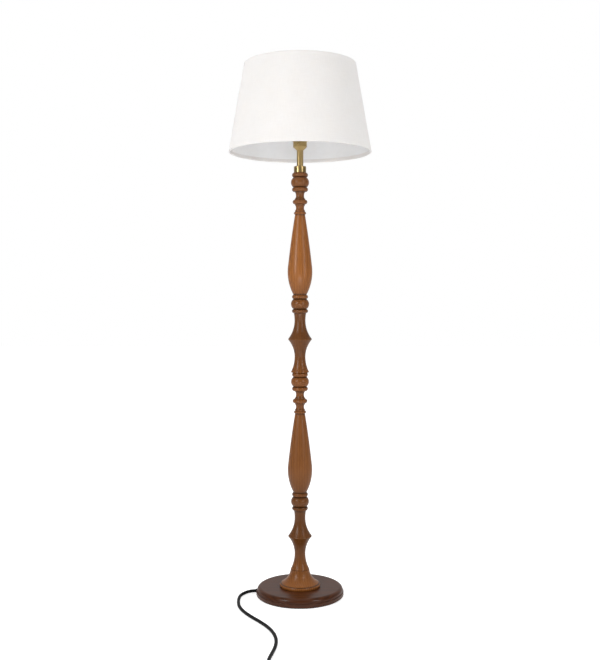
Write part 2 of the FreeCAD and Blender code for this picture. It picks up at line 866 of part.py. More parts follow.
def make_stem(label, z):
    """Turned stem with a socket below, a spigot above and room for the pipe's coupler."""
    socket = s.spigot_radius + s.seat_gap
    socket_depth = s.spigot_height + s.facing_gap
    profile = Outline(socket, 0).to(s.bell_foot_radius, 0)
    profile.upright_arc(s.lower_waist_radius, s.lower_flare_height, leaves_upright=False)
    profile.upright_arc(s.ridge_radius, s.lower_bell_height, leaves_upright=True)
    profile.upright_arc(s.upper_waist_radius, s.upper_bell_height, leaves_upright=False)
    profile.upright_arc(s.spool_top_radius, s.spool_top_height, leaves_upright=True)
    profile.to(s.groove_radius, profile.y)
    profile.bead(s.ring_low_height, s.ring_low_radius, s.groove_radius)
    profile.bead(s.ball_low_height, s.ball_low_radius, s.groove_radius)
    profile.bead(s.ring_vase_height, s.ring_vase_radius, s.groove_radius)
    profile.upright_arc(s.vase_radius, s.vase_belly_height, leaves_upright=False)
    profile.upright_arc(s.vase_shoulder_radius, s.vase_shoulder_height, leaves_upright=True)
    profile.arc(s.vase_top_radius, profile.y + s.vase_taper_height, s.vase_taper_bow, 1)
    profile.bead(s.bead_height, s.bead_radius, s.fillet_radius - s.seat_gap)
    profile.to(s.fillet_radius, profile.y).to(s.fillet_radius, profile.y + s.fillet_low_height)
    profile.to(s.neck_end_radius, profile.y)
    profile.cove(s.neck_low_height, s.neck_radius, s.neck_end_radius)
    profile.to(s.fillet_radius, profile.y).to(s.fillet_radius, profile.y + s.fillet_mid_height)
    profile.to(s.disc_groove_radius, profile.y)
    profile.bead(s.disc_height, s.disc_radius, s.disc_groove_radius)
    profile.to(s.fillet_top_radius, profile.y)
    profile.to(s.fillet_top_radius, profile.y + s.fillet_top_height)
    profile.to(s.neck_end_radius, profile.y)
    profile.cove(s.neck_top_height, s.neck_radius, s.neck_end_radius)
    profile.to(s.fillet_radius, profile.y).to(s.fillet_radius, profile.y + s.fillet_high_height)
    profile.to(s.groove_radius, profile.y)
    profile.bead(s.ring_high_height, s.ring_high_radius, s.groove_radius)
    profile.bead(s.ball_high_height, s.ball_high_radius, s.groove_radius)
    profile.bead(s.collar_height, s.collar_radius, s.groove_radius)
    top = profile.y + s.spigot_height
    profile.to(s.spigot_radius, profile.y).to(s.spigot_radius, top)
    profile.to(s.counterbore_radius, top)
    profile.to(s.counterbore_radius, top - s.counterbore_depth)
    profile.to(s.pipe_hole, top - s.counterbore_depth)
    shoulder = socket_depth + s.counterbore_depth
    profile.to(s.pipe_hole, shoulder).to(s.counterbore_radius, shoulder)
    profile.to(s.counterbore_radius, socket_depth).to(socket, socket_depth)
    turned(label, profile, z=z)


def make_tie():
    """Threaded pipe in two lengths with a coupler at the joint of the stems."""
    middle = coupler_base + s.coupler_length / 2
    turned("lower_pipe", tube_outline(s.pipe_bore, s.pipe_radius, 0,
                                      middle - s.facing_gap - pipe_end), z=pipe_end)
    top = cup_base + s.cup_neck_seat + s.cup_floor + s.nut_height + s.pipe_overhang
    turned("upper_pipe", tube_outline(s.pipe_bore, s.pipe_radius, 0, top - middle), z=middle)
    turned("pipe_coupler", tube_outline(s.pipe_radius + s.turning_gap, s.coupler_radius, 0,
                                        s.coupler_length), z=coupler_base)
    stem_nut_base = ferrule_base + s.spigot_height - s.counterbore_depth
    hex_nut("stem_nut", stem_nut_base)


# ---------------------------------------------------------------- brass neck and lampholder

def make_neck():
    rim = s.ferrule_round
    socket = s.spigot_radius + s.seat_gap
    hole = s.tube_radius + s.seat_gap
    profile = Outline(socket, 0).to(s.ferrule_radius - rim, 0)
    profile.arc(s.ferrule_radius, rim, rim, 1).to(s.ferrule_radius, s.ferrule_height - rim)
    profile.arc(s.ferrule_radius - rim, s.ferrule_height, rim, 1).to(hole, s.ferrule_height)
    profile.to(hole, s.ferrule_height - s.tube_seat).to(s.pipe_hole, s.ferrule_height - s.tube_seat)
    profile.to(s.pipe_hole, s.spigot_height + s.facing_gap)
    profile.to(socket, s.spigot_height + s.facing_gap)
    turned("brass_ferrule", profile, z=ferrule_base)
    turned("brass_tube", tube_outline(s.tube_radius - s.tube_wall, s.tube_radius, 0,
                                      s.tube_seat + s.tube_length + s.cup_neck_seat),
           z=tube_base - s.tube_seat)


def make_lampholder():
    hole = s.tube_radius + s.seat_gap
    floor = s.cup_neck_seat + s.cup_floor
    inner = s.cup_radius - s.cup_wall
    profile = Outline(hole, 0).to(s.cup_neck_radius, 0).to(s.cup_radius, s.cup_cone_height)
    profile.to(s.cup_radius, s.cup_height).to(inner, s.cup_height).to(inner, s.core_shelf)
    profile.to(s.core_shelf_radius, s.core_shelf)
    profile.to(s.core_shelf_radius, s.cup_cone_height + s.cup_wall)
    profile.to(s.cup_inner_cone, floor).to(s.pipe_hole, floor)
    profile.to(s.pipe_hole, s.cup_neck_seat).to(hole, s.cup_neck_seat)
    turned("lampholder_cup", profile, z=cup_base)
    hex_nut("lampholder_nut", cup_base + floor)

    shell_base = s.core_shelf + s.core_flange + s.seat_gap
    turned("lampholder_shell", tube_outline(s.shell_radius - s.shell_wall, s.shell_radius, 0,
                                            s.shell_height), z=cup_base + shell_base)

    rivet = s.contact_rivet_radius + s.seat_gap
    bore = s.bulb_thread_radius + s.turning_gap + s.screw_shell_wall + s.seat_gap
    flange = s.shell_radius
    profile = Outline(rivet, 0).to(flange, 0).to(flange, s.core_flange)
    profile.to(s.core_radius, s.core_flange).to(s.core_radius, s.core_height)
    profile.to(bore, s.core_height).to(bore, s.core_floor).to(rivet, s.core_floor)
    turned("lampholder_core", profile, z=cup_base + s.core_shelf)

    top = s.core_floor + s.contact_thickness
    profile = Outline(0, 0).to(s.contact_rivet_radius, 0).to(s.contact_rivet_radius, s.core_floor)
    profile.to(s.contact_radius, s.core_floor).to(s.contact_radius, top).to(0, top)
    turned("centre_contact", profile, z=cup_base + s.core_shelf)

    inner = s.bulb_thread_radius + s.turning_gap
    turned("screw_shell", tube_outline(inner, inner + s.screw_shell_wall, 0, s.screw_shell_height),
           z=cup_base + s.core_shelf + s.core_floor)


def make_bulb():
    tip = cup_base + s.core_shelf + s.core_floor + s.contact_thickness + s.facing_gap
    turned("bulb_contact", Outline(0, 0).to(s.bulb_tip_radius, 0)
           .to(s.bulb_tip_radius, s.bulb_tip_height).to(0, s.bulb_tip_height), z=tip)
    glass = tip + s.bulb_tip_height
    rim = s.bulb_thread_radius - s.screw_shell_wall
    turned("bulb_cap_insulator", Outline(0, 0).to(s.bulb_tip_radius, 0).to(rim, s.bulb_glass_height)
           .to(0, s.bulb_glass_height), z=glass)
    cap = glass + s.bulb_glass_height
    turned("bulb_cap", Outline(0, 0).to(rim, 0).to(s.bulb_thread_radius, s.screw_shell_wall)
           .to(s.bulb_thread_radius, s.bulb_cap_height).to(0, s.bulb_cap_height), z=cap)
    neck = cap + s.bulb_cap_height
    profile = Outline(0, 0).to(s.bulb_neck_foot_radius, 0)
    profile.upright_arc(s.bulb_neck_radius, s.bulb_neck_height, leaves_upright=True)
    turned("bulb_neck", profile.to(0, s.bulb_neck_height), z=neck)
    profile = Outline(0, 0).to(s.bulb_neck_radius, 0)
    belly = s.bulb_globe_height - s.bulb_globe_radius
    profile.upright_arc(s.bulb_globe_radius, belly, leaves_upright=False)
    profile.arc(0, s.bulb_globe_height, s.bulb_globe_radius, 1)
    turned("bulb_globe", profile, z=neck + s.bulb_neck_height)


# ---------------------------------------------------------------- shade and what carries it

def slope():
    return (s.shade_bottom_radius - s.shade_top_radius) / s.shade_height


def fabric_radius(height):
    """Outer radius of the shade at a height above its lower edge."""
    return s.shade_bottom_radius - slope() * height


hem_radius = s.shade_wire + s.hem_play + s.fabric_thickness
shade_top = shade_base + s.shade_height
top_wire_radius = fabric_radius(s.shade_height - hem_radius) - hem_radius
bottom_wire_radius = fabric_radius(hem_radius) - hem_radius
top_wire_height = shade_top - hem_radius
hub_height = top_wire_height
plate_top = hub_height - s.spider_hub_thickness / 2 - s.facing_gap


def make_carrier():
    """Ring under the lampholder's ring nut, two bowed wires and the plate with the shade's stud."""
    middle = s.carrier_ring_thickness / 2
    top = plate_top - carrier_base - s.carrier_plate_thickness / 2
    body = new_body("shade_carrier")
    hole = s.shell_radius + s.turning_gap
    revolve(body, [tube_outline(hole, s.carrier_ring_radius, 0, s.carrier_ring_thickness).close()])
    start = s.carrier_ring_radius - s.carrier_wire
    path = Outline(start, middle).to(s.carrier_reach - s.carrier_foot_bend, middle)
    path.arc(s.carrier_reach, middle + s.carrier_foot_bend, s.carrier_foot_bend, 1)
    path.to(s.carrier_reach, top - s.carrier_top_bend)
    path.arc(s.carrier_reach - s.carrier_top_bend, top, s.carrier_top_bend, 1)
    path.to(s.carrier_plate_radius - s.carrier_wire, top)
    around(body, bent_wire(body, path, s.carrier_wire, start), CARRIER_SIDES)
    half = s.carrier_plate_thickness / 2 + s.seat_gap
    plate = Outline(0, top - half).to(s.carrier_plate_radius, top - half)
    plate.to(s.carrier_plate_radius, top + s.carrier_plate_thickness / 2)
    plate.to(s.stud_radius, top + s.carrier_plate_thickness / 2)
    plate.to(s.stud_radius, top + s.carrier_plate_thickness / 2 + s.stud_height)
    plate.to(0, top + s.carrier_plate_thickness / 2 + s.stud_height)
    revolve(body, [plate.close()])
    node(place(body, z=carrier_base), "shade_carrier")

    bore = s.shell_radius + s.turning_gap
    profile = Outline(bore, 0).to(s.ring_nut_flange, 0).to(s.ring_nut_flange, s.ring_nut_flange_height)
    profile.to(s.ring_nut_radius, s.ring_nut_flange_height).to(s.ring_nut_radius, s.ring_nut_height)
    profile.to(bore, s.ring_nut_height)
    turned("ring_nut", profile, z=carrier_base + s.carrier_ring_thickness + s.facing_gap)


def make_finial():
    bore = s.stud_radius + s.turning_gap
    knob_base = s.finial_foot_height + s.finial_neck_height
    profile = Outline(bore, 0).to(s.finial_foot_radius, 0)
    profile.to(s.finial_foot_radius, s.finial_foot_height)
    profile.to(s.finial_neck_radius, s.finial_foot_height).to(s.finial_neck_radius, knob_base)
    knob_rise = s.finial_height - knob_base
    profile.upright_arc(s.finial_knob_radius, knob_rise - s.finial_knob_radius, leaves_upright=False)
    profile.arc(0, s.finial_height, s.finial_knob_radius, 1)
    profile.to(0, s.finial_bore_depth).to(bore, s.finial_bore_depth)
    turned("finial", profile, z=hub_height + s.spider_hub_thickness / 2 + s.facing_gap)


def make_spider():
    """Top ring, three arms and the hub that sits on the carrier's stud."""
    body = new_body("shade_spider")
    half = s.spider_hub_thickness / 2
    hole = s.stud_radius + s.turning_gap
    revolve(body, [tube_outline(hole, s.spider_hub_radius, -half, half).close()])
    start = s.spider_hub_radius - s.spider_wire
    path = Outline(start, 0).to(top_wire_radius, 0)
    around(body, bent_wire(body, path, s.spider_wire, start), SPIDER_ARMS)
    revolve(body, circles=[(top_wire_radius, 0, s.shade_wire)])
    node(place(body, z=hub_height), "shade_spider")


def make_shade():
    make_spider()
    low, high = hem_radius, s.shade_height - hem_radius
    thickness = s.fabric_thickness
    profile = Outline(fabric_radius(low) - thickness, low).to(fabric_radius(low), low)
    profile.to(fabric_radius(high), high).to(fabric_radius(high) - thickness, high)
    turned("shade_fabric", profile, z=shade_base)

    low, high = low + s.liner_margin, high - s.liner_margin
    outside = s.fabric_thickness + s.glue_line
    inside = outside + s.liner_thickness
    profile = Outline(fabric_radius(low) - inside, low).to(fabric_radius(low) - outside, low)
    profile.to(fabric_radius(high) - outside, high).to(fabric_radius(high) - inside, high)
    turned("shade_liner", profile, z=shade_base)

    ring = document.addObject("Part::Torus", "bottom_ring")
    bind(ring, "Radius1", bottom_wire_radius)
    bind(ring, "Radius2", s.shade_wire)
    node(place(ring, z=shade_base + hem_radius), "bottom_ring")

    leg_end = hem_radius + s.hem_leg
    make_hem("hem_bottom", bottom_wire_radius, hem_radius, leg_end, 1)
    make_hem("hem_top", top_wire_radius, s.shade_height - hem_radius, s.shade_height - leg_end, -1)


def make_hem(label, wire_circle, wire_level, leg_level, turn):
    """Fabric rolled round a wire and glued up the inside of the liner."""
    outer, inner = hem_radius, hem_radius - s.fabric_thickness
    leg_outside = fabric_radius(leg_level) - s.fabric_thickness - s.liner_thickness - 2 * s.glue_line
    leg_inside = leg_outside - s.fabric_thickness
    body = new_body(label)
    profile = Outline(wire_circle + outer, wire_level).to(wire_circle + inner, wire_level)
    profile.arc(wire_circle - inner, wire_level, inner, -turn)
    profile.to(leg_outside, leg_level).to(leg_inside, leg_level).to(wire_circle - outer, wire_level)
    revolve(body, [profile.close(outer, turn)])
    if label == "hem_top":
        half = s.spider_wire + s.spider_slot_gap
        slot = box_outline(wire_circle - s.hem_leg, -half, wire_circle + inner, half)
        notch = pocket(body, 2 * s.hem_leg, [slot], offset=wire_level + half)
        around(body, notch, SPIDER_ARMS)
    node(place(body, z=shade_base), label)


# ---------------------------------------------------------------- cord, coil, switch and plug

def tube_along(points, radius, bends=None):
    """Round tube along straight runs joined by tangent arcs; returns its solid."""
    lengths = [(b - a).Length for a, b in zip(points, points[1:])]
    edges = []
    here = points[0]
    used = []
    for index in range(1, len(points) - 1):
        before, corner, after = points[index - 1:index + 2]
        arriving, leaving = corner - before, after - corner
        half_turn = arriving.getAngle(leaving) / 2
        if bends:
            bend = bends[index - 1]
        else:
            bend = 0.45 * min(lengths[index - 1], lengths[index]) / math.tan(half_turn)
        back = bend * math.tan(half_turn)
        arriving.normalize()
        leaving.normalize()
        start, end = corner - arriving * back, corner + leaving * back
        inwards = leaving - arriving
        inwards.normalize()
        top = corner + inwards * (bend / math.cos(half_turn) - bend)
        if (start - here).Length > 1e-6:
            edges.append(Part.LineSegment(here, start).toShape())
        edges.append(Part.Arc(start, top, end).toShape())
        used.append(round(bend, 1))
        here = end
    edges.append(Part.LineSegment(here, points[-1]).toShape())
    solid = sweep(edges, radius)
    if not bends:
        print("cord radii", used)
    return solid


def sweep(edges, radius):
    """Sweep a circle along edges that follow each other, and compare its volume."""
    path = Part.Wire(edges)
    start = edges[0].valueAt(edges[0].FirstParameter)
    direction = edges[0].tangentAt(edges[0].FirstParameter)
    circle = Part.Wire([Part.Circle(start, direction, radius).toShape()])
    solid = path.makePipeShell([circle], True, False)
    expected = math.pi * radius ** 2 * path.Length
    print("tube length %.1f, volume %.4f of section x length" % (path.Length, solid.Volume / expected))
    return solid


def arc_middle(start, direction, end):
    """Point half way along the arc that leaves start in a direction and ends at end."""
    chord = end - start
    unit = Vector(chord)
    unit.normalize()
    across = direction - unit * direction.dot(unit)
    across.normalize()
    bow = math.tan(direction.getAngle(unit) / 2) * chord.Length / 2
    return (start + end) / 2 + across * bow


def biarc(start, start_direction, end, end_direction):
    """Two arcs that meet tangentially and keep both end directions."""
    across = end - start
    along = across.dot(start_direction + end_direction)
    turn = 2 * (1 - start_direction.dot(end_direction))
    reach = (-along + math.sqrt(along ** 2 + turn * across.dot(across))) / turn
    meeting = (start + end + (start_direction - end_direction) * reach) / 2
    first = Part.Arc(start, arc_middle(start, start_direction, meeting), meeting)
    second = Part.Arc(meeting, arc_middle(end, end_direction * -1, meeting), end)
    return [first.toShape(), second.toShape()]


def coil_place(turns):
    """Position and direction after some turns: inwards below, a half-turn climb, outwards above."""
    outer, pitch, layer = s.coil_outer_radius.number, s.coil_pitch.number, s.coil_pitch.number
    all_turns = 2 * COIL_LAYER_TURNS + 0.5
    climb = (turns - COIL_LAYER_TURNS) / 0.5
    if climb <= 0:
        radius, growth, rise, steepness = outer - pitch * turns, -pitch, 0, 0
    elif climb < 1:
        radius = outer - pitch * COIL_LAYER_TURNS - pitch * 0.5 * (climb - climb ** 2)
        growth = -pitch * (1 - 2 * climb)
        rise = layer * (1 - math.cos(math.pi * climb)) / 2
        steepness = layer * math.pi * math.sin(math.pi * climb)
    else:
        radius, growth, rise, steepness = outer - pitch * (all_turns - turns), pitch, layer, 0
    angle = 2 * math.pi * (turns - 0.25)
    outwards = Vector(math.cos(angle), math.sin(angle), 0)
    onwards = Vector(-math.sin(angle), math.cos(angle), 0)
    position = Vector(*COIL_CENTRE, coil_low.number + rise) + outwards * radius
    direction = outwards * growth + onwards * radius * 2 * math.pi + Vector(0, 0, steepness)
    direction.normalize()
    return position, direction


def least_gap(path, radius):
    """Least clear distance between parts of one tube that are not neighbours along it."""
    step = radius / 2
    points = path.discretize(Distance=step)
    apart = int(6 * radius / step)
    nearest = min(a.distanceToPoint(b) for i, a in enumerate(points) for b in points[i + apart:])
    return nearest - 2 * radius


def make_coil():
    quarters = int(round(4 * (2 * COIL_LAYER_TURNS + 0.5)))
    places = [coil_place(quarter / 4) for quarter in range(quarters + 1)]
    ahead = Vector(1, 0, 0)
    places[0] = (places[0][0], ahead)
    places[-1] = (places[-1][0], ahead)
    straight = 2 * s.cord_radius.number
    edges = [Part.LineSegment(places[0][0] - ahead * straight, places[0][0]).toShape()]
    for (start, start_direction), (end, end_direction) in zip(places, places[1:]):
        edges += biarc(start, start_direction, end, end_direction)
    edges.append(Part.LineSegment(places[-1][0], places[-1][0] + ahead * straight).toShape())
    solid_piece("cord_coil", sweep(edges, s.cord_radius.number))
    print("coil gap %.2f" % least_gap(Part.Wire(edges), s.cord_radius.number))

    # strap round both layers where they lie one above the other
    inner_x = s.coil_pitch + 2 * s.cord_radius + 2 * s.tie_side_gap
    inner_y = s.coil_pitch + 2 * s.cord_radius + 2 * s.seat_gap
    body = new_body("cord_tie")
    outer = rounded_box(inner_x + 2 * s.tie_thickness, inner_y + 2 * s.tie_thickness,
                        s.tie_corner + s.tie_thickness)
    pad(body, s.tie_width, [outer, rounded_box(inner_x, inner_y, s.tie_corner)],
        offset=-s.tie_width / 2, role="YZ_Plane")
    ring = s.coil_outer_radius - s.coil_pitch
    node(place(body, COIL_CENTRE[0], COIL_CENTRE[1] + ring, coil_low + s.coil_pitch / 2), "cord_tie")


def make_cord():
    radius = s.cord_radius.number
    face = rim_reach() + s.entry_proud
    start = Vector(*(value.number for value in entry_point(face)), entry_axis.number)
    first = Vector(*(value.number for value in entry_point(face + s.first_run)), entry_axis.number)
    x, y = SWITCH_PLACE
    reach = (s.switch_length / 2 + s.switch_relief_length + s.seat_gap).number
    level = s.switch_axis.number
    run = s.switch_run.number
    points = [start, first] + [Vector(*point) for point in LEAD_ROUTE]
    points += [Vector(x, y + reach + run, level), Vector(x, y + reach, level)]
    solid_piece("cord_lead", tube_along(points, radius))
    front = COIL_CENTRE[1] - s.coil_outer_radius.number
    back = Vector(x, y - reach, level)
    corner = Vector(x, front + s.link_corner.number, level)
    points = [back, corner, Vector(x + s.link_corner.number, front, coil_low.number),
              Vector(COIL_CENTRE[0] - 2 * radius, front, coil_low.number)]
    solid_piece("cord_link", tube_along(points, radius))
    make_coil()


def top_edges(feature):
    """Names of the edges that lie in a feature's highest plane."""
    top = feature.Shape.BoundBox.ZMax
    return [f"Edge{number}" for number, edge in enumerate(feature.Shape.Edges, start=1)
            if abs(edge.BoundBox.ZMin - top) < 1e-4]


def round_edges(body, feature, radius, edges=None):
    document.recompute()
    fillet = body.newObject("PartDesign::Fillet", "rounded")
    fillet.Base = (feature, edges or ["Edge1"])
    fillet.UseAllEdges = edges is None
    bind(fillet, "Radius", radius)
    return fillet


def make_switch():
    """Foot switch in the cord: two half shells, button, spring and the contact block."""
    x, y = SWITCH_PLACE
    wall = s.switch_wall
    axis = s.switch_axis
    bottom = s.seat_gap
    inner_width, inner_length = s.switch_width - 2 * wall, s.switch_length - 2 * wall
    along_y = Rotation(Vector(1, 0, 0), -90)
    stub = s.switch_stub_radius
    spots = [(s.switch_post_x * k, s.switch_post_y * k) for k in (1, -1)]

    height = axis - bottom - s.seat_gap / 2
    body = new_body("switch_base_shell")
    pad(body, height, [rounded_box(s.switch_width, s.switch_length, s.switch_corner)])
    pocket(body, height - wall, [rounded_box(inner_width, inner_length, s.switch_corner - wall)],
           offset=height)
    place(body, x, y, bottom)
    tools = [cylinder(stub + s.seat_gap, s.switch_length, x, y - s.switch_length / 2, axis, along_y)]
    for across, along in spots:
        tools.append(cylinder(s.switch_screw_radius + s.seat_gap, wall, x + across, y + along, bottom))
        tools.append(cylinder(s.switch_head_radius + s.seat_gap, s.switch_head_height + s.seat_gap,
                              x + across, y + along, bottom))
    node(cut(body, tools), "switch_base")

    body = new_body("switch_cover_shell")
    outer = pad(body, s.switch_cover_height,
                [rounded_box(s.switch_width, s.switch_length, s.switch_corner)])
    document.recompute()
    round_edges(body, outer, s.switch_edge_round, top_edges(outer))
    depth = s.switch_cover_height - wall
    pocket(body, depth, [rounded_box(inner_width, inner_length, s.switch_corner - wall)],
           upwards=True)
    pocket(body, wall, circles=[(0, 0, s.button_radius + s.turning_gap * 2)],
           offset=s.switch_cover_height)
    cover_base = axis + s.seat_gap / 2
    place(body, x, y, cover_base)
    post_foot = bottom + wall + s.seat_gap
    posts = [cylinder(s.switch_post_radius, cover_base + depth - post_foot + wall / 2,
                      x + across, y + along, post_foot) for across, along in spots]
    screw_reach = s.switch_screw_length - s.switch_head_height
    holes = [cylinder(s.switch_screw_radius, screw_reach, x + across, y + along,
                      bottom + s.switch_head_height) for across, along in spots]
    holes.append(cylinder(stub + s.seat_gap, s.switch_length, x, y - s.switch_length / 2, axis,
                          along_y))
    node(cut(fused([body] + posts), holes), "switch_cover")

    screws = []
    for across, along in spots:
        head = cylinder(s.switch_head_radius, s.switch_head_height, x + across, y + along, bottom)
        shank = cylinder(s.switch_screw_radius, screw_reach, x + across, y + along,
                         bottom + s.switch_head_height)
        screws.append(fused([head, shank]))
    group("switch_screws", screws)

    ceiling = cover_base + depth
    flange_base = ceiling - s.seat_gap - s.button_flange_height
    top = s.button_height
    profile = Outline(0, 0).to(s.button_flange_radius, 0)
    profile.to(s.button_flange_radius, s.button_flange_height)
    profile.to(s.button_radius, s.button_flange_height)
    profile.to(s.button_radius, top - s.button_dome)
    profile.arc(s.button_radius - s.button_dome, top, s.button_dome, 1).to(0, top)
    turned("switch_button", profile, x, y, flange_base)

    spring_top = flange_base - s.seat_gap
    block_top = spring_top - s.spring_length
    node(block(s.contact_block_width, s.contact_block_length, block_top - post_foot - s.seat_gap,
               x - s.contact_block_width / 2, y - s.contact_block_length / 2, post_foot),
         "switch_contacts")
    wire = s.spring_wire.number
    rise = s.spring_length.number - 2 * wire - 2 * s.seat_gap.number
    helix = Part.makeHelix(rise / 4, rise, s.spring_radius.number)
    circle = Part.Wire([Part.Circle(Vector(s.spring_radius.number, 0, 0), Vector(0, 1, 0),
                                    wire).toShape()])
    spring = helix.makePipeShell([circle], True, True)
    spring.translate(Vector(x, y, block_top.number + wire + s.seat_gap.number))
    solid_piece("switch_spring", spring)

    reliefs = []
    for side in (1, -1):
        relief = Outline(0, 0).to(s.switch_relief_tip, 0)
        relief.to(s.switch_relief_foot, s.switch_relief_length)
        relief.to(stub, s.switch_relief_length)
        relief.to(stub, s.switch_relief_length + wall + s.switch_stub_inside)
        relief.to(0, s.switch_relief_length + wall + s.switch_stub_inside)
        tip = (s.switch_length / 2 + s.switch_relief_length + s.seat_gap) * side
        body = new_body("switch_relief")
        revolve(body, [relief.close()])
        reliefs.append(place(body, x, y + tip, axis, Rotation(Vector(1, 0, 0), 90 * side)))
    group("switch_reliefs", reliefs)


def make_plug():
    """Flat three-pin plug lying on its back at the coil's free end."""
    entry = coil_low + s.coil_pitch
    start = COIL_CENTRE[0] + 2 * s.cord_radius
    y = COIL_CENTRE[1] - s.coil_outer_radius
    relief = Outline(0, 0).to(s.plug_relief_tip, 0).to(s.plug_relief_foot, s.plug_relief_length)
    turned("plug_relief", relief.to(0, s.plug_relief_length), start, y, entry,
           Rotation(Vector(0, 1, 0), 90))

    back = start + s.plug_relief_length + s.seat_gap
    half, neck = s.plug_width / 2, s.plug_neck_width / 2
    plan = Outline(0, -neck).to(s.plug_shoulder, -half).to(s.plug_length, -half)
    plan.to(s.plug_length, half).to(s.plug_shoulder, half).to(0, neck)
    body = new_body("plug_housing")
    housing = pad(body, s.plug_thickness, [plan.close()])
    round_edges(body, housing, s.plug_edge_round)
    bottom = s.seat_gap
    place(body, back, y, bottom)
    face = bottom + s.plug_thickness
    row = back + s.line_pin_inset
    pins = []
    sockets = []
    gap = s.seat_gap
    for x, across, length, width, reach in (
            (row, -s.line_pin_spacing / 2, s.line_pin_thickness, s.line_pin_width, s.line_pin_length),
            (row, s.line_pin_spacing / 2, s.line_pin_thickness, s.line_pin_width, s.line_pin_length),
            (row + s.pin_row_spacing, as_size(0), s.earth_pin_thickness, s.earth_pin_width,
             s.earth_pin_length)):
        root_depth = s.pin_root
        pins.append(block(length, width, reach + root_depth, x - length / 2, y + across - width / 2,
                          face - root_depth))
        sockets.append(block(length + 2 * gap, width + 2 * gap, root_depth + gap,
                             x - length / 2 - gap, y + across - width / 2 - gap,
                             face - root_depth - gap))
    middle = row + s.pin_row_spacing / 2 - s.fuse_inset
    wide, long, deep = s.fuse_door_width, s.fuse_door_length, s.fuse_door_depth
    chamber = block(wide, long, deep, middle - wide / 2, y - long / 2, face - deep)
    node(cut(body, sockets + [chamber]), "plug_body")
    group("plug_pins", pins)
    door = s.fuse_door_thickness
    node(block(wide - 2 * gap, long - 2 * gap, door, middle - wide / 2 + gap, y - long / 2 + gap,
               face - door), "fuse_door")
    node(cylinder(s.fuse_radius, s.fuse_length, middle, y - s.fuse_length / 2,
                  face - deep + s.fuse_radius + gap, Rotation(Vector(1, 0, 0), -90)), "fuse")


def check_result():
    """Every object is sound before anything is written."""
    for thing in document.Objects:
        for bad in ("Invalid", "Error"):
            if bad in thing.State:
                raise RuntimeError(f"{thing.Label} ({thing.Name}) is {thing.State}")
    for piece in nodes:
        if piece.Shape.isNull() or not piece.Shape.isValid():
            raise RuntimeError(f"{piece.Label} has no valid shape")


make_foot()
make_skirt()
make_stem("lower_stem", lower_stem_base)
make_stem("upper_stem", upper_stem_base)
make_tie()
make_neck()
make_lampholder()
make_bulb()
make_carrier()
make_finial()
make_shade()
make_cord_entry()
make_cord()
make_switch()
make_plug()

document.recompute()
check_result()
os.makedirs("parts", exist_ok=True)
for piece in nodes:
    piece.Shape.exportStep(f"parts/{piece.Label}.step")
    box = piece.Shape.BoundBox
    print("%-20s solids %d volume %.0f z %.1f to %.1f" % (piece.Label, len(piece.Shape.Solids),
                                                        piece.Shape.Volume, box.ZMin, box.ZMax))
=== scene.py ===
"""Looks of the candlestick floor lamp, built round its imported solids."""

import json
import math

import bmesh
import bpy
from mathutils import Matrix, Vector


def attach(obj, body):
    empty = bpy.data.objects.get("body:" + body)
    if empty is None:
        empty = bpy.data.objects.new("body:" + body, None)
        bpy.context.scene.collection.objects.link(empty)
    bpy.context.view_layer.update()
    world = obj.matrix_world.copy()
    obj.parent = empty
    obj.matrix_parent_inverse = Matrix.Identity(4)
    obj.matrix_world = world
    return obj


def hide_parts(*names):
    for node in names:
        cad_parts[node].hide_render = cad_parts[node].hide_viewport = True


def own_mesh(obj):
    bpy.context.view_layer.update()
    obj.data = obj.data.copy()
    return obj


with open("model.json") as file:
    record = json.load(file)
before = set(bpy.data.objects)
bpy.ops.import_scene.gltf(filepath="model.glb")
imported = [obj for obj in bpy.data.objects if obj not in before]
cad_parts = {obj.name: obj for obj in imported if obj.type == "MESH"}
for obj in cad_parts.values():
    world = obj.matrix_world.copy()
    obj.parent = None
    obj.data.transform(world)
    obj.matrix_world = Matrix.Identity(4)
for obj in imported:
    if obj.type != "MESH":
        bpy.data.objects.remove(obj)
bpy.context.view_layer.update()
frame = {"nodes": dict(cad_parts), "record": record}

MM = 0.001


# ---------------------------------------------------------------- camera

PHOTO_HEIGHT = 660
FOCAL_PIXELS = 918.8
SENSOR_HEIGHT = 24
CAMERA_PLACE = (0, -2.915, 0.962)
CAMERA_DIP = 2.21


def set_camera():
    """The photograph's view: 2.9 m away, just under a metre up, tilted a little down."""
    lens = bpy.data.cameras.new("photo_lens")
    lens.sensor_fit = "VERTICAL"
    lens.sensor_height = SENSOR_HEIGHT
    lens.lens = FOCAL_PIXELS / PHOTO_HEIGHT * SENSOR_HEIGHT
    lens.clip_end = 200
    camera = bpy.data.objects.new("photo_camera", lens)
    camera.location = CAMERA_PLACE
    camera.rotation_euler = (math.radians(90 - CAMERA_DIP), 0, 0)
    bpy.context.collection.objects.link(camera)
    bpy.context.scene.camera = camera


set_camera()


# ---------------------------------------------------------------- materials

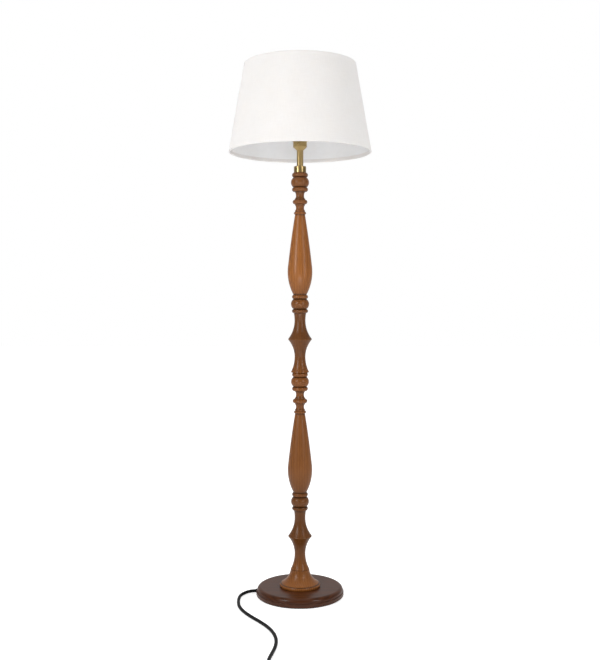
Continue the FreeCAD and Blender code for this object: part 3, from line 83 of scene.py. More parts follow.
class Finish:
    """One procedural material; what is constant sits on the shader's own sockets."""

    def __init__(self, name, **constants):
        self.material = bpy.data.materials.new(name)
        self.material.use_nodes = True
        self.tree = self.material.node_tree
        self.shader = self.tree.nodes["Principled BSDF"]
        for socket, value in constants.items():
            self.shader.inputs[socket.replace("_", " ")].default_value = value
        self.place = self.node("TexCoord").outputs["Object"]

    def feed(self, socket, value):
        if isinstance(value, bpy.types.NodeSocket):
            self.tree.links.new(value, socket)
        else:
            socket.default_value = value

    def node(self, kind, inputs=None, **settings):
        made = self.tree.nodes.new("ShaderNode" + kind)
        for name, value in settings.items():
            setattr(made, name, value)
        for socket, value in (inputs or {}).items():
            self.feed(made.inputs[socket], value)
        return made

    def stretch(self, scale, shift=(0, 0, 0), place=None):
        return self.node("Mapping", {"Vector": place or self.place, "Scale": scale,
                                     "Location": shift}).outputs["Vector"]

    def noise(self, scale, place=None, detail=3.0, roughness=0.5):
        return self.node("TexNoise", {"Vector": place or self.place, "Scale": scale,
                                      "Detail": detail, "Roughness": roughness}).outputs["Fac"]

    def ramp(self, factor, *stops):
        made = self.node("ValToRGB", {"Fac": factor})
        elements = made.color_ramp.elements
        while len(elements) < len(stops):
            elements.new(1)
        for element, (position, colour) in zip(elements, stops):
            element.position = position
            element.color = (*colour, 1)
        return made.outputs["Color"]

    def mix(self, factor, first, second, blend="MIX"):
        made = self.node("Mix", {0: factor}, data_type="RGBA", blend_type=blend)
        for index, value in ((6, first), (7, second)):
            self.feed(made.inputs[index], value if isinstance(value, bpy.types.NodeSocket)
                      else (*value, 1))
        return made.outputs[2]

    def math(self, operation, first, second=0.0):
        return self.node("Math", {0: first, 1: second}, operation=operation).outputs[0]

    def between(self, factor, low, high, out_low, out_high):
        return self.node("MapRange", {"Value": factor, "From Min": low, "From Max": high,
                                      "To Min": out_low, "To Max": out_high}).outputs["Result"]

    def bump(self, height, distance, strength=1.0):
        return self.node("Bump", {"Height": height, "Distance": distance,
                                  "Strength": strength}).outputs["Normal"]

    def set(self, **sockets):
        for name, value in sockets.items():
            self.feed(self.shader.inputs[name.replace("_", " ")], value)
        return self.material


def make_wood(name, pale, middle, deep, grain, pith, ring_scale, roughness, lacquer, shade_along=()):
    """Stained and lacquered wood: growth rings cut by the turning, long fibres and fine pores.
    The last argument gives painted shade by height in metres, darker on the bells and the neck
    where less light falls. The mesh's hollow attribute darkens the grooves with stain and painted
    shade, and pales the crests with wear and a painted highlight."""
    wood = Finish(name, Specular_IOR_Level=0.25, Coat_Weight=lacquer, Coat_Roughness=0.2)
    drawn_out = 0.05
    along = {"X": (drawn_out, 1, 1), "Z": (1, 1, drawn_out)}[grain]
    board = wood.stretch(along, pith)
    rings = wood.node("TexWave", {"Vector": board, "Scale": ring_scale, "Distortion": 3.0,
                                  "Detail": 3, "Detail Scale": 1.2, "Detail Roughness": 0.6},
                      wave_type="RINGS", rings_direction=grain).outputs["Fac"]
    fibre = wood.noise(420, board, detail=4, roughness=0.6)
    pores = wood.noise(1700, board, detail=2, roughness=0.4)
    tone = wood.noise(11, board, detail=2)
    mixed = wood.math("ADD", wood.math("MULTIPLY", rings, 0.3), wood.math("MULTIPLY", tone, 0.7))
    colour = wood.ramp(mixed, (0.25, deep), (0.5, middle), (0.8, pale))
    fibre_shade = wood.between(fibre, 0.3, 0.7, 0.88, 1.1)
    grey = wood.node("CombineColor", {0: fibre_shade, 1: fibre_shade, 2: fibre_shade})
    colour = wood.mix(1.0, colour, grey.outputs[0], "MULTIPLY")
    dash = wood.between(pores, 0.62, 0.74, 0.0, 0.3)
    colour = wood.mix(dash, colour, tuple(c * 0.45 for c in deep))
    # Colour multiplied by height is painted shade: darker on the bells and the neck, where less light
    # falls.
    if shade_along:
        tallest = 1.4
        height = wood.node("SeparateXYZ", {"Vector": board}).outputs["Z"]
        level = wood.between(height, 0.0, tallest * drawn_out, 0.0, 1.0)
        shade_by_height = wood.ramp(level, *((z / tallest, (c, c * 0.95, c * 0.88)) for z, c in shade_along))
        colour = wood.mix(1.0, colour, shade_by_height, "MULTIPLY")
    # Stain and painted shade: the more shut in a groove is, the darker it is painted; crests are paled by
    # wear and a painted highlight.
    hollow = wood.node("Attribute", attribute_name="hollow").outputs["Fac"]
    stain_and_shade = wood.between(hollow, 0.1, 0.5, 0.0, 0.88)
    colour = wood.mix(stain_and_shade, colour, tuple(c * 0.16 for c in deep))
    wear_and_highlight = wood.between(hollow, -0.15, -0.5, 0.0, 0.7)
    colour = wood.mix(wear_and_highlight, colour, tuple(min(c * 1.35, 0.8) for c in pale))
    grain_bump = wood.bump(wood.math("SUBTRACT", fibre, dash), 0.0001, 0.12)
    return wood.set(Base_Color=colour, Normal=grain_bump,
                    Roughness=wood.between(tone, 0.2, 0.8, roughness, roughness + 0.08))


def make_metal(name, bright, dull, roughness, lines=0.0, speck=0.0):
    """Turned or rolled metal with faint tool lines and a little tarnish."""
    metal = Finish(name, Metallic=1.0)
    cloud = metal.noise(38, detail=4, roughness=0.6)
    wear = metal.noise(420, detail=3)
    colour = metal.ramp(metal.math("ADD", metal.math("MULTIPLY", cloud, 0.7),
                                   metal.math("MULTIPLY", wear, 0.3)), (0.25, dull), (0.7, bright))
    tool = metal.noise(1, metal.stretch((3, 3, 5200)), detail=2)
    pits = metal.noise(1900, detail=1)
    surface = metal.math("ADD", metal.math("MULTIPLY", tool, lines), metal.math("MULTIPLY", pits, speck))
    return metal.set(Base_Color=colour, Normal=metal.bump(surface, 0.00004, 0.5),
                     Roughness=metal.between(cloud, 0.25, 0.8, roughness, roughness + 0.14))


def make_plastic(name, colour, shade, roughness, grain_size, grain_depth, coat=0.0, **constants):
    """Moulded plastic, rubber or ceramic: fine surface grain and faint handling marks."""
    plastic = Finish(name, Coat_Weight=coat, **constants)
    grain = plastic.node("TexVoronoi", {"Vector": plastic.place, "Scale": grain_size}).outputs[0]
    marks = plastic.noise(60, detail=5, roughness=0.65)
    tint = plastic.ramp(marks, (0.3, shade), (0.7, colour))
    return plastic.set(Base_Color=tint, Normal=plastic.bump(grain, grain_depth, 0.5),
                       Roughness=plastic.between(marks, 0.3, 0.75, roughness, roughness + 0.15))


def around_axis(finish, radius):
    """Distance round the shade and distance up it, as a flat place on its cloth."""
    parts = finish.node("SeparateXYZ", {0: finish.place})
    backwards = finish.math("MULTIPLY", parts.outputs["Y"], -1.0)
    angle = finish.math("ARCTAN2", parts.outputs["X"], backwards)
    along = finish.math("MULTIPLY", angle, radius)
    return finish.node("CombineXYZ", {"X": along, "Y": parts.outputs["Z"]}).outputs[0]


def make_shade_cloth(name, pale, deep, thread):
    """Plain weave with slubs in both directions, laid round the shade."""
    cloth = Finish(name, Specular_IOR_Level=0.15, Subsurface_Weight=0.8, Subsurface_Scale=0.0012,
                   Subsurface_Radius=(1.0, 0.95, 0.9))
    flat = around_axis(cloth, 0.2)
    warp = cloth.node("TexWave", {"Vector": flat, "Scale": math.pi / 10 / thread, "Distortion": 0.6,
                                  "Detail Scale": 40.0}, bands_direction="X").outputs["Fac"]
    weft = cloth.node("TexWave", {"Vector": flat, "Scale": math.pi / 10 / thread, "Distortion": 0.6,
                                  "Detail Scale": 40.0}, bands_direction="Y").outputs["Fac"]
    slub_across = cloth.noise(1, cloth.stretch((28, 900, 1), place=flat), detail=3, roughness=0.6)
    slub_up = cloth.noise(1, cloth.stretch((900, 28, 1), place=flat), detail=3, roughness=0.6)
    cloudy = cloth.noise(14, flat, detail=3)
    threads = cloth.math("ADD", slub_across, slub_up)
    light = cloth.math("ADD", cloth.math("MULTIPLY", threads, 0.42), cloth.math("MULTIPLY", cloudy, 0.16))
    colour = cloth.ramp(light, (0.35, deep), (0.62, pale))
    weave = cloth.math("ADD", cloth.math("MULTIPLY", warp, weft), threads)
    return cloth.set(Base_Color=colour, Normal=cloth.bump(weave, 0.0003, 0.55),
                     Roughness=cloth.between(threads, 0.6, 1.4, 0.95, 0.8))


def make_felt(name):
    """Short black fluff."""
    felt = Finish(name, Sheen_Weight=0.4, Specular_IOR_Level=0.1)
    fluff = felt.noise(900, detail=6, roughness=0.8)
    colour = felt.ramp(fluff, (0.3, (0.006, 0.006, 0.006)), (0.7, (0.035, 0.033, 0.03)))
    return felt.set(Base_Color=colour, Normal=felt.bump(fluff, 0.0005, 0.8), Roughness=0.95)


def make_glass(name):
    """Opal glass, evenly white."""
    glass = Finish(name, Coat_Weight=0.6, Coat_Roughness=0.05, Subsurface_Weight=0.25,
                   Subsurface_Scale=0.01)
    haze = glass.noise(30, detail=2)
    colour = glass.ramp(haze, (0.3, (0.8, 0.79, 0.76)), (0.7, (0.86, 0.85, 0.83)))
    return glass.set(Base_Color=colour, Roughness=glass.between(haze, 0.3, 0.7, 0.18, 0.26))


finishes = {
    "wood_foot": make_wood("dark_stained_foot", (0.1, 0.029, 0.008), (0.075, 0.021, 0.0055),
                           (0.052, 0.0145, 0.004), "X", (0.0, 0.07, 0.05), 34, 0.3, 0.15),
    "wood_stem": make_wood("stained_beech_stem", (0.36, 0.138, 0.033), (0.29, 0.105, 0.023),
                           (0.215, 0.073, 0.015), "Z", (0.052, 0.03, 0.0), 62, 0.34, 0.15,
                           # Painted shade by height: the bells and the neck are darker, where less light
                           # falls.
                           ((0.03, 0.95), (0.1, 0.8), (0.16, 0.5), (0.26, 0.5), (0.4, 0.8),
                            (0.7, 0.82), (0.78, 0.5), (0.89, 0.5), (1.02, 1.02), (1.2, 0.95), (1.26, 0.64),
                            (1.35, 0.58))),
    "felt": make_felt("black_felt"),
    "steel": make_metal("zinc_plated_steel", (0.62, 0.62, 0.63), (0.45, 0.45, 0.46), 0.3, 0.4, 0.4),
    "brass": make_metal("aged_brass", (0.5, 0.36, 0.16), (0.42, 0.295, 0.12), 0.24, 0.12, 0.05),
    "ceramic": make_plastic("glazed_ceramic", (0.8, 0.77, 0.7), (0.72, 0.69, 0.62), 0.25, 900,
                            0.00003, 0.4),
    "glass": make_glass("opal_glass"),
    "bulb_plastic": make_plastic("white_bulb_body", (0.82, 0.82, 0.81), (0.76, 0.76, 0.75), 0.3,
                                 1500, 0.00002),
    "fabric": make_shade_cloth("off_white_linen", (0.865, 0.832, 0.808), (0.81, 0.777, 0.752), 0.0009),
    "liner": make_plastic("white_liner", (0.93, 0.92, 0.92), (0.9, 0.89, 0.89), 0.5, 1100, 0.00003,
                          Specular_IOR_Level=0.2, Subsurface_Weight=0.8, Subsurface_Scale=0.0012,
                          Subsurface_Radius=(1.0, 0.95, 0.9)),
    "black_rubber": make_plastic("black_cord_sheath", (0.007, 0.007, 0.0075), (0.004, 0.004, 0.0045),
                                 0.42, 1600, 0.00004, Specular_IOR_Level=0.22),
    "black_plastic": make_plastic("black_moulding", (0.024, 0.024, 0.026), (0.014, 0.014, 0.015),
                                  0.34, 1300, 0.00006),
    "live_plastic": make_plastic("brown_core", (0.25, 0.1, 0.04), (0.2, 0.08, 0.03), 0.35, 2000,
                                 0.00002),
    "neutral_plastic": make_plastic("blue_core", (0.04, 0.14, 0.42), (0.03, 0.11, 0.36), 0.35, 2000,
                                    0.00002),
    "earth_plastic": make_plastic("green_core", (0.3, 0.45, 0.06), (0.24, 0.38, 0.05), 0.35, 2000,
                                  0.00002),
}


def finish_nodes():
    """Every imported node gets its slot's finish."""
    slots = {part["node"]: part["material_slot"] for part in frame["record"]["subparts"]}
    for name, thing in frame["nodes"].items():
        for place in thing.material_slots:
            place.material = finishes[slots[name]]


def keep(piece, body, slot, *nodes):
    """Set a finished piece on its body, in its slot and instead of its nodes."""
    piece.data.materials.clear()
    piece.data.materials.append(finishes[slot])
    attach(piece, body)
    if nodes:
        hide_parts(*nodes)
    return piece


def add_object(name, data):
    piece = bpy.data.objects.new(name, data)
    bpy.context.collection.objects.link(piece)
    return piece


# ---------------------------------------------------------------- turned wood

SANDED = 0.45
SHARP = 0.4
SHARE_OF_RUN = 0.35
JOINT_LINE = 0.7
JOINT_STAIN = 0.5


class Outline:
    """Half section of a turned piece: radius and height, in millimetres."""

    def __init__(self, radius, height):
        self.points = [(radius, height)]
        self.wide = {}

    @property
    def height(self):
        return self.points[-1][1]

    @property
    def radius(self):
        return self.points[-1][0]

    def to(self, *corners):
        self.points += corners
        return self

    def arc(self, radius, height, bend, turn):
        """Arc to a point; turn is 1 for a left turn and -1 for a right one."""
        x, y = self.points[-1]
        chord = math.hypot(radius - x, height - y)
        rise = math.sqrt(max(bend ** 2 - chord ** 2 / 4, 0))
        centre = ((x + radius) / 2 - (height - y) / chord * rise * turn,
                  (y + height) / 2 + (radius - x) / chord * rise * turn)
        first = math.atan2(y - centre[1], x - centre[0])
        sweep = 2 * math.asin(min(1, chord / 2 / bend)) * turn
        steps = max(3, round(max(abs(sweep) / 0.12, chord / 5)))
        for step in range(1, steps):
            angle = first + sweep * step / steps
            self.points.append((centre[0] + bend * math.cos(angle), centre[1] + bend * math.sin(angle)))
        self.points.append((radius, height))
        return self

    def upright_arc(self, radius, rise, leaves_upright):
        """Arc that stands upright at its start or at its end."""
        step = abs(radius - self.radius)
        widens = radius > self.radius
        bend = (rise ** 2 + step ** 2) / (2 * step)
        return self.arc(radius, self.height + rise, bend, 1 if widens != leaves_upright else -1)

    def bead(self, height, radius, groove):
        """Round moulding that swells to a radius and ends in a groove."""
        self.upright_arc(radius, height / 2, False)
        return self.upright_arc(groove, height / 2, True)

    def cove(self, height, waist, end):
        """Hollow moulding that narrows to a waist."""
        self.upright_arc(waist, height / 2, False)
        return self.upright_arc(end, height / 2, True)

    def list(self, radius, height):
        """Narrow flat fillet between two mouldings."""
        return self.to((radius, self.height), (radius, self.height + height))

    def broken(self, ease):
        """The last corner is rounded by this much."""
        self.wide[len(self.points) - 1] = ease
        return self

    def eased(self, ease):
        """The same closed outline with each sharp corner broken by sandpaper."""
        points = [Vector(p) for p in self.points]
        result = []
        for index, corner in enumerate(points):
            before, after = points[index - 1], points[(index + 1) % len(points)]
            arriving, leaving = corner - before, after - corner
            if arriving.angle(leaving) < SHARP and index not in self.wide:
                result.append(corner)
                continue
            back = min(self.wide.get(index, ease), arriving.length * SHARE_OF_RUN,
                       leaving.length * SHARE_OF_RUN)
            start, end = corner - arriving.normalized() * back, corner + leaving.normalized() * back
            result += [start, (start + end) / 4 + corner / 2, end]
        return result


def hollowness(points, reach=7.0, nearest=0.3, bore=12):
    """How shut in each point is by what stands above and below it: above 0 in a groove,
    below 0 on a crest."""
    values = []
    for x, y in points:
        shut = 0.0
        for side in (1, -1):
            rises = [math.atan2(px - x, (py - y) * side) for px, py in points
                     if nearest < (py - y) * side < reach and px > bore]
            shut += max(rises) if rises else 0.0
        values.append(max(-1.0, min(1.0, shut / math.pi)))
    return values


def lathe(name, outline, lift, joints, turns=160):
    """Spin an eased closed outline into a smooth mesh, with its hollows and joint lines stored
    for the stain and painted shade."""
    points = outline.eased(SANDED)
    hollows = [max(hollow, JOINT_STAIN) if any(abs(y - joint) < JOINT_LINE for joint in joints)
               else hollow for (x, y), hollow in zip(points, hollowness(points))]
    count = len(points)
    vertices = []
    for turn in range(turns):
        angle = 2 * math.pi * turn / turns
        vertices += [(x * MM * math.cos(angle), x * MM * math.sin(angle), (y + lift) * MM)
                     for x, y in points]
    faces = []
    for turn in range(turns):
        here, there = turn * count, (turn + 1) % turns * count
        for index in range(count):
            following = (index + 1) % count
            faces.append((here + index, there + index, there + following, here + following))
    mesh = bpy.data.meshes.new(name)
    mesh.from_pydata(vertices, [], faces)
    mesh.attributes.new("hollow", "FLOAT", "POINT").data.foreach_set("value", hollows * turns)
    mesh.shade_smooth()
    mesh.set_sharp_from_angle(angle=math.radians(38))
    return add_object(name, mesh)


SPIGOT, PIPE_HOLE, COUNTERBORE, GROOVE, FILLET = 12.5, 5.6, 8.6, 20.8, 15.8
SPIGOT_RISE = 12
SKIRT_RISE, SKIRT_LIP, SKIRT_TOP_RADIUS = 55.8, 10.0, 29.7


def stem_outline():
    """Both stems have this outline: two bells round a ridge, beads, a long vase, small beads
    and coves, three beads, then the spigot and the bore with its counterbores."""
    turning = Outline(SPIGOT + 0.1, 0).to((29.4, 0)).broken(1.3)
    turning.upright_arc(17.3, 49.4, False).upright_arc(38.3, 56, True).broken(2.2)
    turning.upright_arc(17.3, 59, False).upright_arc(19.6, 24, True).to((GROOVE, turning.height))
    turning.bead(12.5, 25.5, GROOVE).bead(32, 28.7, GROOVE).bead(13.5, 25.4, GROOVE)
    turning.upright_arc(39.1, 72.5, False).upright_arc(37.6, 21, True)
    turning.arc(FILLET, turning.height + 159.5, 3000, 1)
    turning.bead(8.5, 19.3, FILLET - 0.1).list(FILLET, 4.5).to((14.6, turning.height))
    turning.cove(15.5, 12.7, 14.6).list(FILLET, 4).to((17.4, turning.height))
    turning.bead(14, 23.2, 17.4).list(16.8, 3.5).to((14.6, turning.height))
    turning.cove(19, 12.7, 14.6).list(FILLET, 2.8).to((GROOVE, turning.height))
    turning.bead(13.5, 25.3, GROOVE).bead(31.2, 28.5, GROOVE).bead(14.5, 25.2, GROOVE)
    top = turning.height + SPIGOT_RISE
    turning.to((SPIGOT, turning.height), (SPIGOT, top), (COUNTERBORE, top), (COUNTERBORE, top - 16))
    return turning.to((PIPE_HOLE, top - 16), (PIPE_HOLE, 28.25), (COUNTERBORE, 28.25),
                      (COUNTERBORE, 12.25), (SPIGOT + 0.1, 12.25))


def skirt_outline():
    """The flared skirt that stands on the foot, with a bead for its lip."""
    turning = Outline(PIPE_HOLE, 0).to((63.2, 0)).bead(SKIRT_LIP, 65, 63.2).to((61.8, SKIRT_LIP))
    turning.arc(SKIRT_TOP_RADIUS, SKIRT_RISE, 55.5, -1).broken(1.3)
    spigot_top = SKIRT_RISE + SPIGOT_RISE
    return turning.to((SPIGOT, SKIRT_RISE), (SPIGOT, spigot_top), (PIPE_HOLE, spigot_top))


def make_wood_pieces():
    # The dark line at SKIRT_LIP is painted shade in the step above the skirt's bead; the other joint lines
    # are dark glued joints.
    for node, outline, lift, joints in (("foot_skirt", skirt_outline(), 28.8, (SKIRT_RISE, SKIRT_LIP)),
                                        ("lower_stem", stem_outline(), 84.6, (0,)),
                                        ("upper_stem", stem_outline(), 715.0, (0,))):
        name = "turned_" + node.replace("foot_", "")
        keep(lathe(name, outline, lift, joints), "stand", "wood_stem", node)


# ---------------------------------------------------------------- cord

CORD = 10.0
COIL_CENTRE = (0.0, -700.0)
COIL_OUTER, COIL_PITCH, COIL_LOW = 62.0, 10.8, 6.1
LAYER_TURNS, CLIMB_TURNS = 1.75, 0.5
POINTS_A_TURN = 16
CUTS_INSIDE = 1.0195  # the spline runs this much inside its points

LEAD = [
    (-142.3, 10.4, 8.8), (-157.6, 7.8, 8.8), (-171.4, 0.4, 7.4), (-182.5, -11.1, 6.0),
    (-189.7, -26.5, 5.3), (-192.9, -52.3, 5.1), (-191.9, -90.3, 5.1), (-187.8, -124.1, 5.1),
    (-178.1, -155.6, 5.1), (-163.2, -188.4, 5.1), (-142.6, -222.7, 5.1), (-116.9, -260.8, 5.1),
    (-91.9, -304.1, 5.1), (-74.0, -350.8, 5.1), (-65.0, -402.0, 5.1), (-66.8, -454.0, 5.1),
    (-75.5, -503.0, 5.5), (-82.3, -544.9, 7.6), (-82.3, -571.9, 7.6),
]
LINK = [(-82.3, -688.1, 7.6), (-82.3, -730.0, 7.6), (-50.3, -762.0, 6.1), (-18.0, -762.0, 6.1)]


def coil_point(turns):
    """Inwards in the lower layer, a half-turn climb, outwards in the upper layer."""
    climb = (turns - LAYER_TURNS) / CLIMB_TURNS
    if climb <= 0:
        radius, rise = COIL_OUTER - COIL_PITCH * turns, 0
    elif climb < 1:
        radius = COIL_OUTER - COIL_PITCH * (LAYER_TURNS + CLIMB_TURNS * (climb - climb ** 2))
        rise = COIL_PITCH * (1 - math.cos(math.pi * climb)) / 2
    else:
        radius = COIL_OUTER - COIL_PITCH * (2 * LAYER_TURNS + CLIMB_TURNS - turns)
        rise = COIL_PITCH
    angle = 2 * math.pi * (turns - 0.25)
    radius *= CUTS_INSIDE
    return (COIL_CENTRE[0] + radius * math.cos(angle), COIL_CENTRE[1] + radius * math.sin(angle),
            COIL_LOW + rise)


def cord_curve(name, points):
    """Round cord on one smooth line through the middle of its route's runs."""
    curve = bpy.data.curves.new(name, "CURVE")
    curve.dimensions = "3D"
    spline = curve.splines.new("NURBS")
    spline.points.add(len(points) - 1)
    for place, point in zip(spline.points, points):
        place.co = (point[0] * MM, point[1] * MM, point[2] * MM, 1)
    spline.order_u = 3
    spline.use_endpoint_u = True
    spline.resolution_u = 10
    curve.bevel_depth = CORD / 2 * MM
    curve.bevel_resolution = 6
    curve.use_fill_caps = True
    return add_object(name, curve)


def make_cords():
    """The lead to the foot switch, and the spare cord in its coil."""
    lead = cord_curve("mains_lead", LEAD)
    keep(lead, "stand", "black_rubber", "cord_lead")
    steps = round(POINTS_A_TURN * (2 * LAYER_TURNS + CLIMB_TURNS))
    coil = [coil_point(step / POINTS_A_TURN) for step in range(1, steps)]
    front = COIL_CENTRE[1] - COIL_OUTER
    top = COIL_LOW + COIL_PITCH
    tail = [(-4.0, front, top), (10.0, front, top)]
    spare = cord_curve("coiled_lead", LINK + [(4.0, front, COIL_LOW)] + coil[1:-1] + tail)
    keep(spare, "stand", "black_rubber", "cord_link", "cord_coil")
    return lead, spare


# ---------------------------------------------------------------- what repeats

def new_tree(name, inputs):
    """A geometry tree with named inputs; gives the tree, the inputs' identifiers and its start."""
    tree = bpy.data.node_groups.new(name, "GeometryNodeTree")
    tree.interface.new_socket("Geometry", in_out="INPUT", socket_type="NodeSocketGeometry")
    ids = {}
    for label, kind, value in inputs:
        socket = tree.interface.new_socket(label, in_out="INPUT", socket_type="NodeSocket" + kind)
        if value is not None:
            socket.default_value = value
        ids[label] = socket.identifier
    tree.interface.new_socket("Geometry", in_out="OUTPUT", socket_type="NodeSocketGeometry")
    start = tree.nodes.new("NodeGroupInput")
    return tree, ids, start


def link_nodes(tree, kind, inputs, **settings):
    """A node of any tree, with its settings made and its inputs fed."""
    made = tree.nodes.new(kind)
    for name, value in settings.items():
        setattr(made, name, value)
    for socket, value in inputs.items():
        if isinstance(value, bpy.types.NodeSocket):
            tree.links.new(value, made.inputs[socket])
        else:
            made.inputs[socket].default_value = value
    return made


def end_tree(tree, start, geometry):
    """Real, smooth geometry in the material that the tree was given."""
    real = link_nodes(tree, "GeometryNodeRealizeInstances", {0: geometry})
    smooth = link_nodes(tree, "GeometryNodeSetShadeSmooth", {0: real.outputs[0]})
    painted = link_nodes(tree, "GeometryNodeSetMaterial",
                         {0: smooth.outputs[0], "Material": start.outputs["Material"]})
    link_nodes(tree, "NodeGroupOutput", {0: painted.outputs[0]})


def ridge_ring_tree():
    """Upright ridges standing round a circle."""
    tree, ids, start = new_tree("ridge_ring", [
        ("Count", "Int", 24), ("Radius", "Float", 0.02), ("Height", "Float", 0.01),
        ("Thickness", "Float", 0.001), ("Material", "Material", None)])
    circle = link_nodes(tree, "GeometryNodeMeshCircle", {"Vertices": start.outputs["Count"],
                                                         "Radius": start.outputs["Radius"]})
    ridge = link_nodes(tree, "GeometryNodeMeshCylinder", {
        "Vertices": 10, "Radius": start.outputs["Thickness"], "Depth": start.outputs["Height"]})
    placed = link_nodes(tree, "GeometryNodeInstanceOnPoints", {
        "Points": circle.outputs[0], "Instance": ridge.outputs["Mesh"]})
    end_tree(tree, start, placed.outputs[0])
    return tree, ids


def helix_tree():
    """Wire or thread that winds upwards."""
    tree, ids, start = new_tree("helix", [
        ("Turns", "Float", 4.0), ("Radius", "Float", 0.006), ("Height", "Float", 0.01),
        ("Wire", "Float", 0.0005), ("Material", "Material", None)])
    spiral = link_nodes(tree, "GeometryNodeCurveSpiral", {
        "Resolution": 40, "Rotations": start.outputs["Turns"],
        "Start Radius": start.outputs["Radius"], "End Radius": start.outputs["Radius"],
        "Height": start.outputs["Height"]})
    section = link_nodes(tree, "GeometryNodeCurvePrimitiveCircle", {
        "Resolution": 10, "Radius": start.outputs["Wire"]})
    tube = link_nodes(tree, "GeometryNodeCurveToMesh", {
        0: spiral.outputs[0], "Profile Curve": section.outputs[0], "Fill Caps": True})
    end_tree(tree, start, tube.outputs[0])
    return tree, ids


def rib_row_tree():
    """A row of short rounded ribs along X."""
    tree, ids, start = new_tree("rib_row", [
        ("Count", "Int", 5), ("Spacing", "Vector", (0, 0.004, 0)), ("Length", "Float", 0.02),
        ("Thickness", "Float", 0.0007), ("Material", "Material", None)])
    row = link_nodes(tree, "GeometryNodeMeshLine", {"Count": start.outputs["Count"],
                                                    "Offset": start.outputs["Spacing"]})
    rib = link_nodes(tree, "GeometryNodeMeshCylinder", {
        "Vertices": 12, "Radius": start.outputs["Thickness"], "Depth": start.outputs["Length"]})
    placed = link_nodes(tree, "GeometryNodeInstanceOnPoints", {
        "Points": row.outputs[0], "Instance": rib.outputs["Mesh"], "Rotation": (0, math.pi / 2, 0)})
    end_tree(tree, start, placed.outputs[0])
    return tree, ids


def grown(name, tree_and_ids, place, slot, body, nodes=(), **sizes):
    """Run a tree, keep its plain mesh and set it in place."""
    tree, ids = tree_and_ids
    seed = add_object(name + "_seed", bpy.data.meshes.new(name + "_seed"))
    modifier = seed.modifiers.new("grow", "NODES")
    modifier.node_group = tree
    for label, value in sizes.items():
        modifier[ids[label]] = value
    modifier[ids["Material"]] = finishes[slot]
    graph = bpy.context.evaluated_depsgraph_get()
    mesh = bpy.data.meshes.new_from_object(seed.evaluated_get(graph))
    seed.modifiers.remove(modifier)
    bpy.data.objects.remove(seed)
    mesh.name = name
    for vertex in mesh.vertices:
        vertex.co += Vector(place) * MM
    return keep(add_object(name, mesh), body, slot, *nodes)


SWITCH_MIDDLE = (-82.3, -630.0)


def make_repeats():
    """The ring nut's knurl, the bulb cap's thread, the button's spring and the switch's ribs."""
    ring, helix, row = ridge_ring_tree(), helix_tree(), rib_row_tree()
    grown("ring_nut_knurl", ring, (0, 0, 1454.0), "brass", "ring_nut",
          Count=60, Radius=0.0248, Height=0.0058, Thickness=0.0006)
    grown("bulb_cap_thread", helix, (0, 0, 1459.6), "steel", "bulb",
          Turns=4.0, Radius=0.01245, Height=0.0145, Wire=0.0008)
    spring = grown("button_spring", helix, (*SWITCH_MIDDLE, 9.2), "steel", "stand",
                   ["switch_spring"], Turns=5.0, Radius=0.006, Height=0.0066, Wire=0.00045)
    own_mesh(spring)
    for side in (1, -1):
        grown("switch_grip_" + ("front" if side > 0 else "back"), row,
              (SWITCH_MIDDLE[0], SWITCH_MIDDLE[1] + side * 27 - 4.5, 20.6), "black_plastic", "stand",
              Count=4, Spacing=(0, 0.003, 0), Length=0.018, Thickness=0.0006)


# ---------------------------------------------------------------- shade

SHADE_FOOT, SHADE_RISE = 1408.1, 275.5
SHADE_FOOT_RADIUS, SHADE_TOP_RADIUS = 225.0, 175.8


def make_shade_seam():
    """The cloth's glued lap, up the back of the shade."""
    lap, proud, edge, sunk, steps = 0.012, 0.0006, 0.0001, -0.0003, 24
    low, high = 2.6, 272.9
    narrowing = (SHADE_FOOT_RADIUS - SHADE_TOP_RADIUS) / SHADE_RISE
    sections = []
    for row in range(steps + 1):
        height = low + (high - low) * row / steps
        radius = (SHADE_FOOT_RADIUS - narrowing * height) * MM
        ring = []
        for across, out in ((-0.5, edge), (-0.46, proud), (0.46, proud), (0.5, edge),
                            (0.5, sunk), (-0.5, sunk)):
            angle = math.pi / 2 + across * lap / radius
            ring.append(Vector(((radius + out) * math.cos(angle), (radius + out) * math.sin(angle),
                                (SHADE_FOOT + height) * MM)))
        sections.append(ring)
    shape = bmesh.new()
    rows = [[shape.verts.new(point) for point in ring] for ring in sections]
    for lower, upper in zip(rows, rows[1:]):
        for index in range(len(lower)):
            following = (index + 1) % len(lower)
            shape.faces.new((lower[index], lower[following], upper[following], upper[index]))
    shape.faces.new(rows[0][::-1])
    shape.faces.new(rows[-1])
    bmesh.ops.recalc_face_normals(shape, faces=shape.faces)
    mesh = bpy.data.meshes.new("shade_seam")
    shape.to_mesh(mesh)
    shape.free()
    keep(add_object("shade_seam", mesh), "shade", "fabric")


# ---------------------------------------------------------------- light and floor

FLOOR_REACH, FLOOR_DROP = 14.0, 0.0002
FLOOR_SHOWN, FLOOR_REFLECTED = 0.6, 0.1
LAMPS = (  # name, place, size, watts, what it is turned to, spread in degrees
    ("soft_lamp_left", (-1.75, -1.75, 1.75), (0.35, 1.5), 27, (0, 0, 1.2), 180),
    ("soft_lamp_right", (1.75, -1.75, 1.6), (0.3, 1.8), 16, (0, 0, 1.1), 180),
    ("soft_lamp_low", (0.0, -2.1, 0.3), (1.6, 0.4), 1.7, (0, 0.2, 1.6), 56),
    ("soft_lamp_above", (0.0, -0.2, 3.4), (1.6, 1.6), 10, (0, 0, 0.6), 180),
)


def calculated(tree, operation, *values):
    """The result of one sum on sockets and numbers."""
    made = link_nodes(tree, "ShaderNodeMath", dict(enumerate(values)), operation=operation)
    return made.outputs[0]


def seen_rays(tree):
    """Two sockets: a ray from the camera, and one off something glossy or through something
    clear."""
    path = tree.nodes.new("ShaderNodeLightPath").outputs
    reflected = calculated(tree, "MAXIMUM", path["Is Glossy Ray"], path["Is Transmission Ray"])
    return path["Is Camera Ray"], reflected


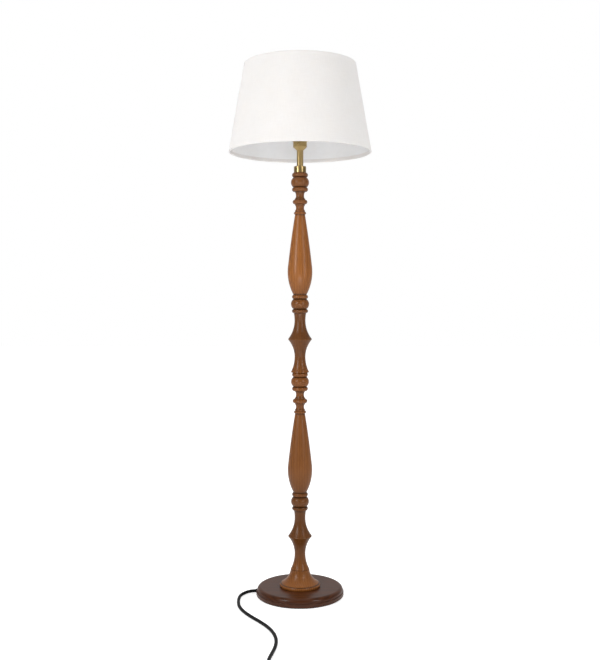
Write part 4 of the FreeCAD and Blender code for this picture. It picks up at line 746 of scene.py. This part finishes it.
def make_floor():
    """White floor that keeps the lamp's shadow."""
    plane = bpy.data.meshes.new("floor")
    plane.from_pydata([(x * FLOOR_REACH, y * FLOOR_REACH, -FLOOR_DROP)
                       for x, y in ((-1, -1), (1, -1), (1, 1), (-1, 1))], [], [(0, 1, 2, 3)])
    floor = add_object("floor", plane)
    white = bpy.data.materials.new("white_floor")
    white.use_nodes = True
    tree = white.node_tree
    paint = tree.nodes["Principled BSDF"]
    for socket, value in (("Base Color", (0.86, 0.86, 0.86, 1)), ("Roughness", 0.9),
                          ("Specular IOR Level", 0.1)):
        paint.inputs[socket].default_value = value
    from_camera, reflected = seen_rays(tree)
    faint = calculated(tree, "MULTIPLY", reflected, FLOOR_REFLECTED)
    strength = calculated(tree, "MULTIPLY_ADD", from_camera, FLOOR_SHOWN, faint)
    glow = link_nodes(tree, "ShaderNodeEmission", {"Strength": strength})
    both = link_nodes(tree, "ShaderNodeAddShader", {0: paint.outputs[0], 1: glow.outputs[0]})
    tree.links.new(both.outputs[0], tree.nodes["Material Output"].inputs["Surface"])
    plane.materials.append(white)


def make_surroundings():
    """White backdrop, dimmer in front, where the room is; it lights the piece more softly than
    it shows."""
    world = bpy.data.worlds.new("studio")
    bpy.context.scene.world = world
    world.use_nodes = True
    tree = world.node_tree
    tree.nodes.clear()
    place = tree.nodes.new("ShaderNodeTexCoord").outputs["Generated"]
    shade_by_height = link_nodes(tree, "ShaderNodeSeparateXYZ", {0: place}).outputs["Y"]

    def background(strength):
        made = link_nodes(tree, "ShaderNodeBackground", {"Color": (1, 1, 1, 1), "Strength": strength})
        return made.outputs[0]

    def deepening(near, far, least, most):
        return link_nodes(tree, "ShaderNodeMapRange", {
            "Value": shade_by_height, "From Min": near, "From Max": far, "To Min": least,
            "To Max": most}).outputs["Result"]

    from_camera, reflected = seen_rays(tree)
    shown = calculated(tree, "MAXIMUM", deepening(-0.2, 0.9, 0.04, 0.5), from_camera)
    choose = link_nodes(tree, "ShaderNodeMixShader", {
        "Fac": calculated(tree, "MAXIMUM", from_camera, reflected),
        1: background(deepening(-0.9, 0.6, 0.3, 0.92)), 2: background(shown)})
    link_nodes(tree, "ShaderNodeOutputWorld", {"Surface": choose.outputs[0]})


def make_lamps():
    """Two tall soft lamps in front, one above, and one low that lights the shade's inside."""
    for name, place, size, watts, aim, spread in LAMPS:
        light = bpy.data.lights.new(name, "AREA")
        light.shape = "RECTANGLE"
        light.size, light.size_y = size
        light.energy = watts
        light.spread = math.radians(spread)
        lamp = add_object(name, light)
        lamp.location = place
        lamp.rotation_euler = (Vector(aim) - Vector(place)).to_track_quat("-Z", "Y").to_euler()


finish_nodes()
lead, spare = make_cords()
make_wood_pieces()
make_repeats()
make_shade_seam()
make_floor()
make_surroundings()
make_lamps()

bpy.context.scene.view_settings.view_transform = "Standard"
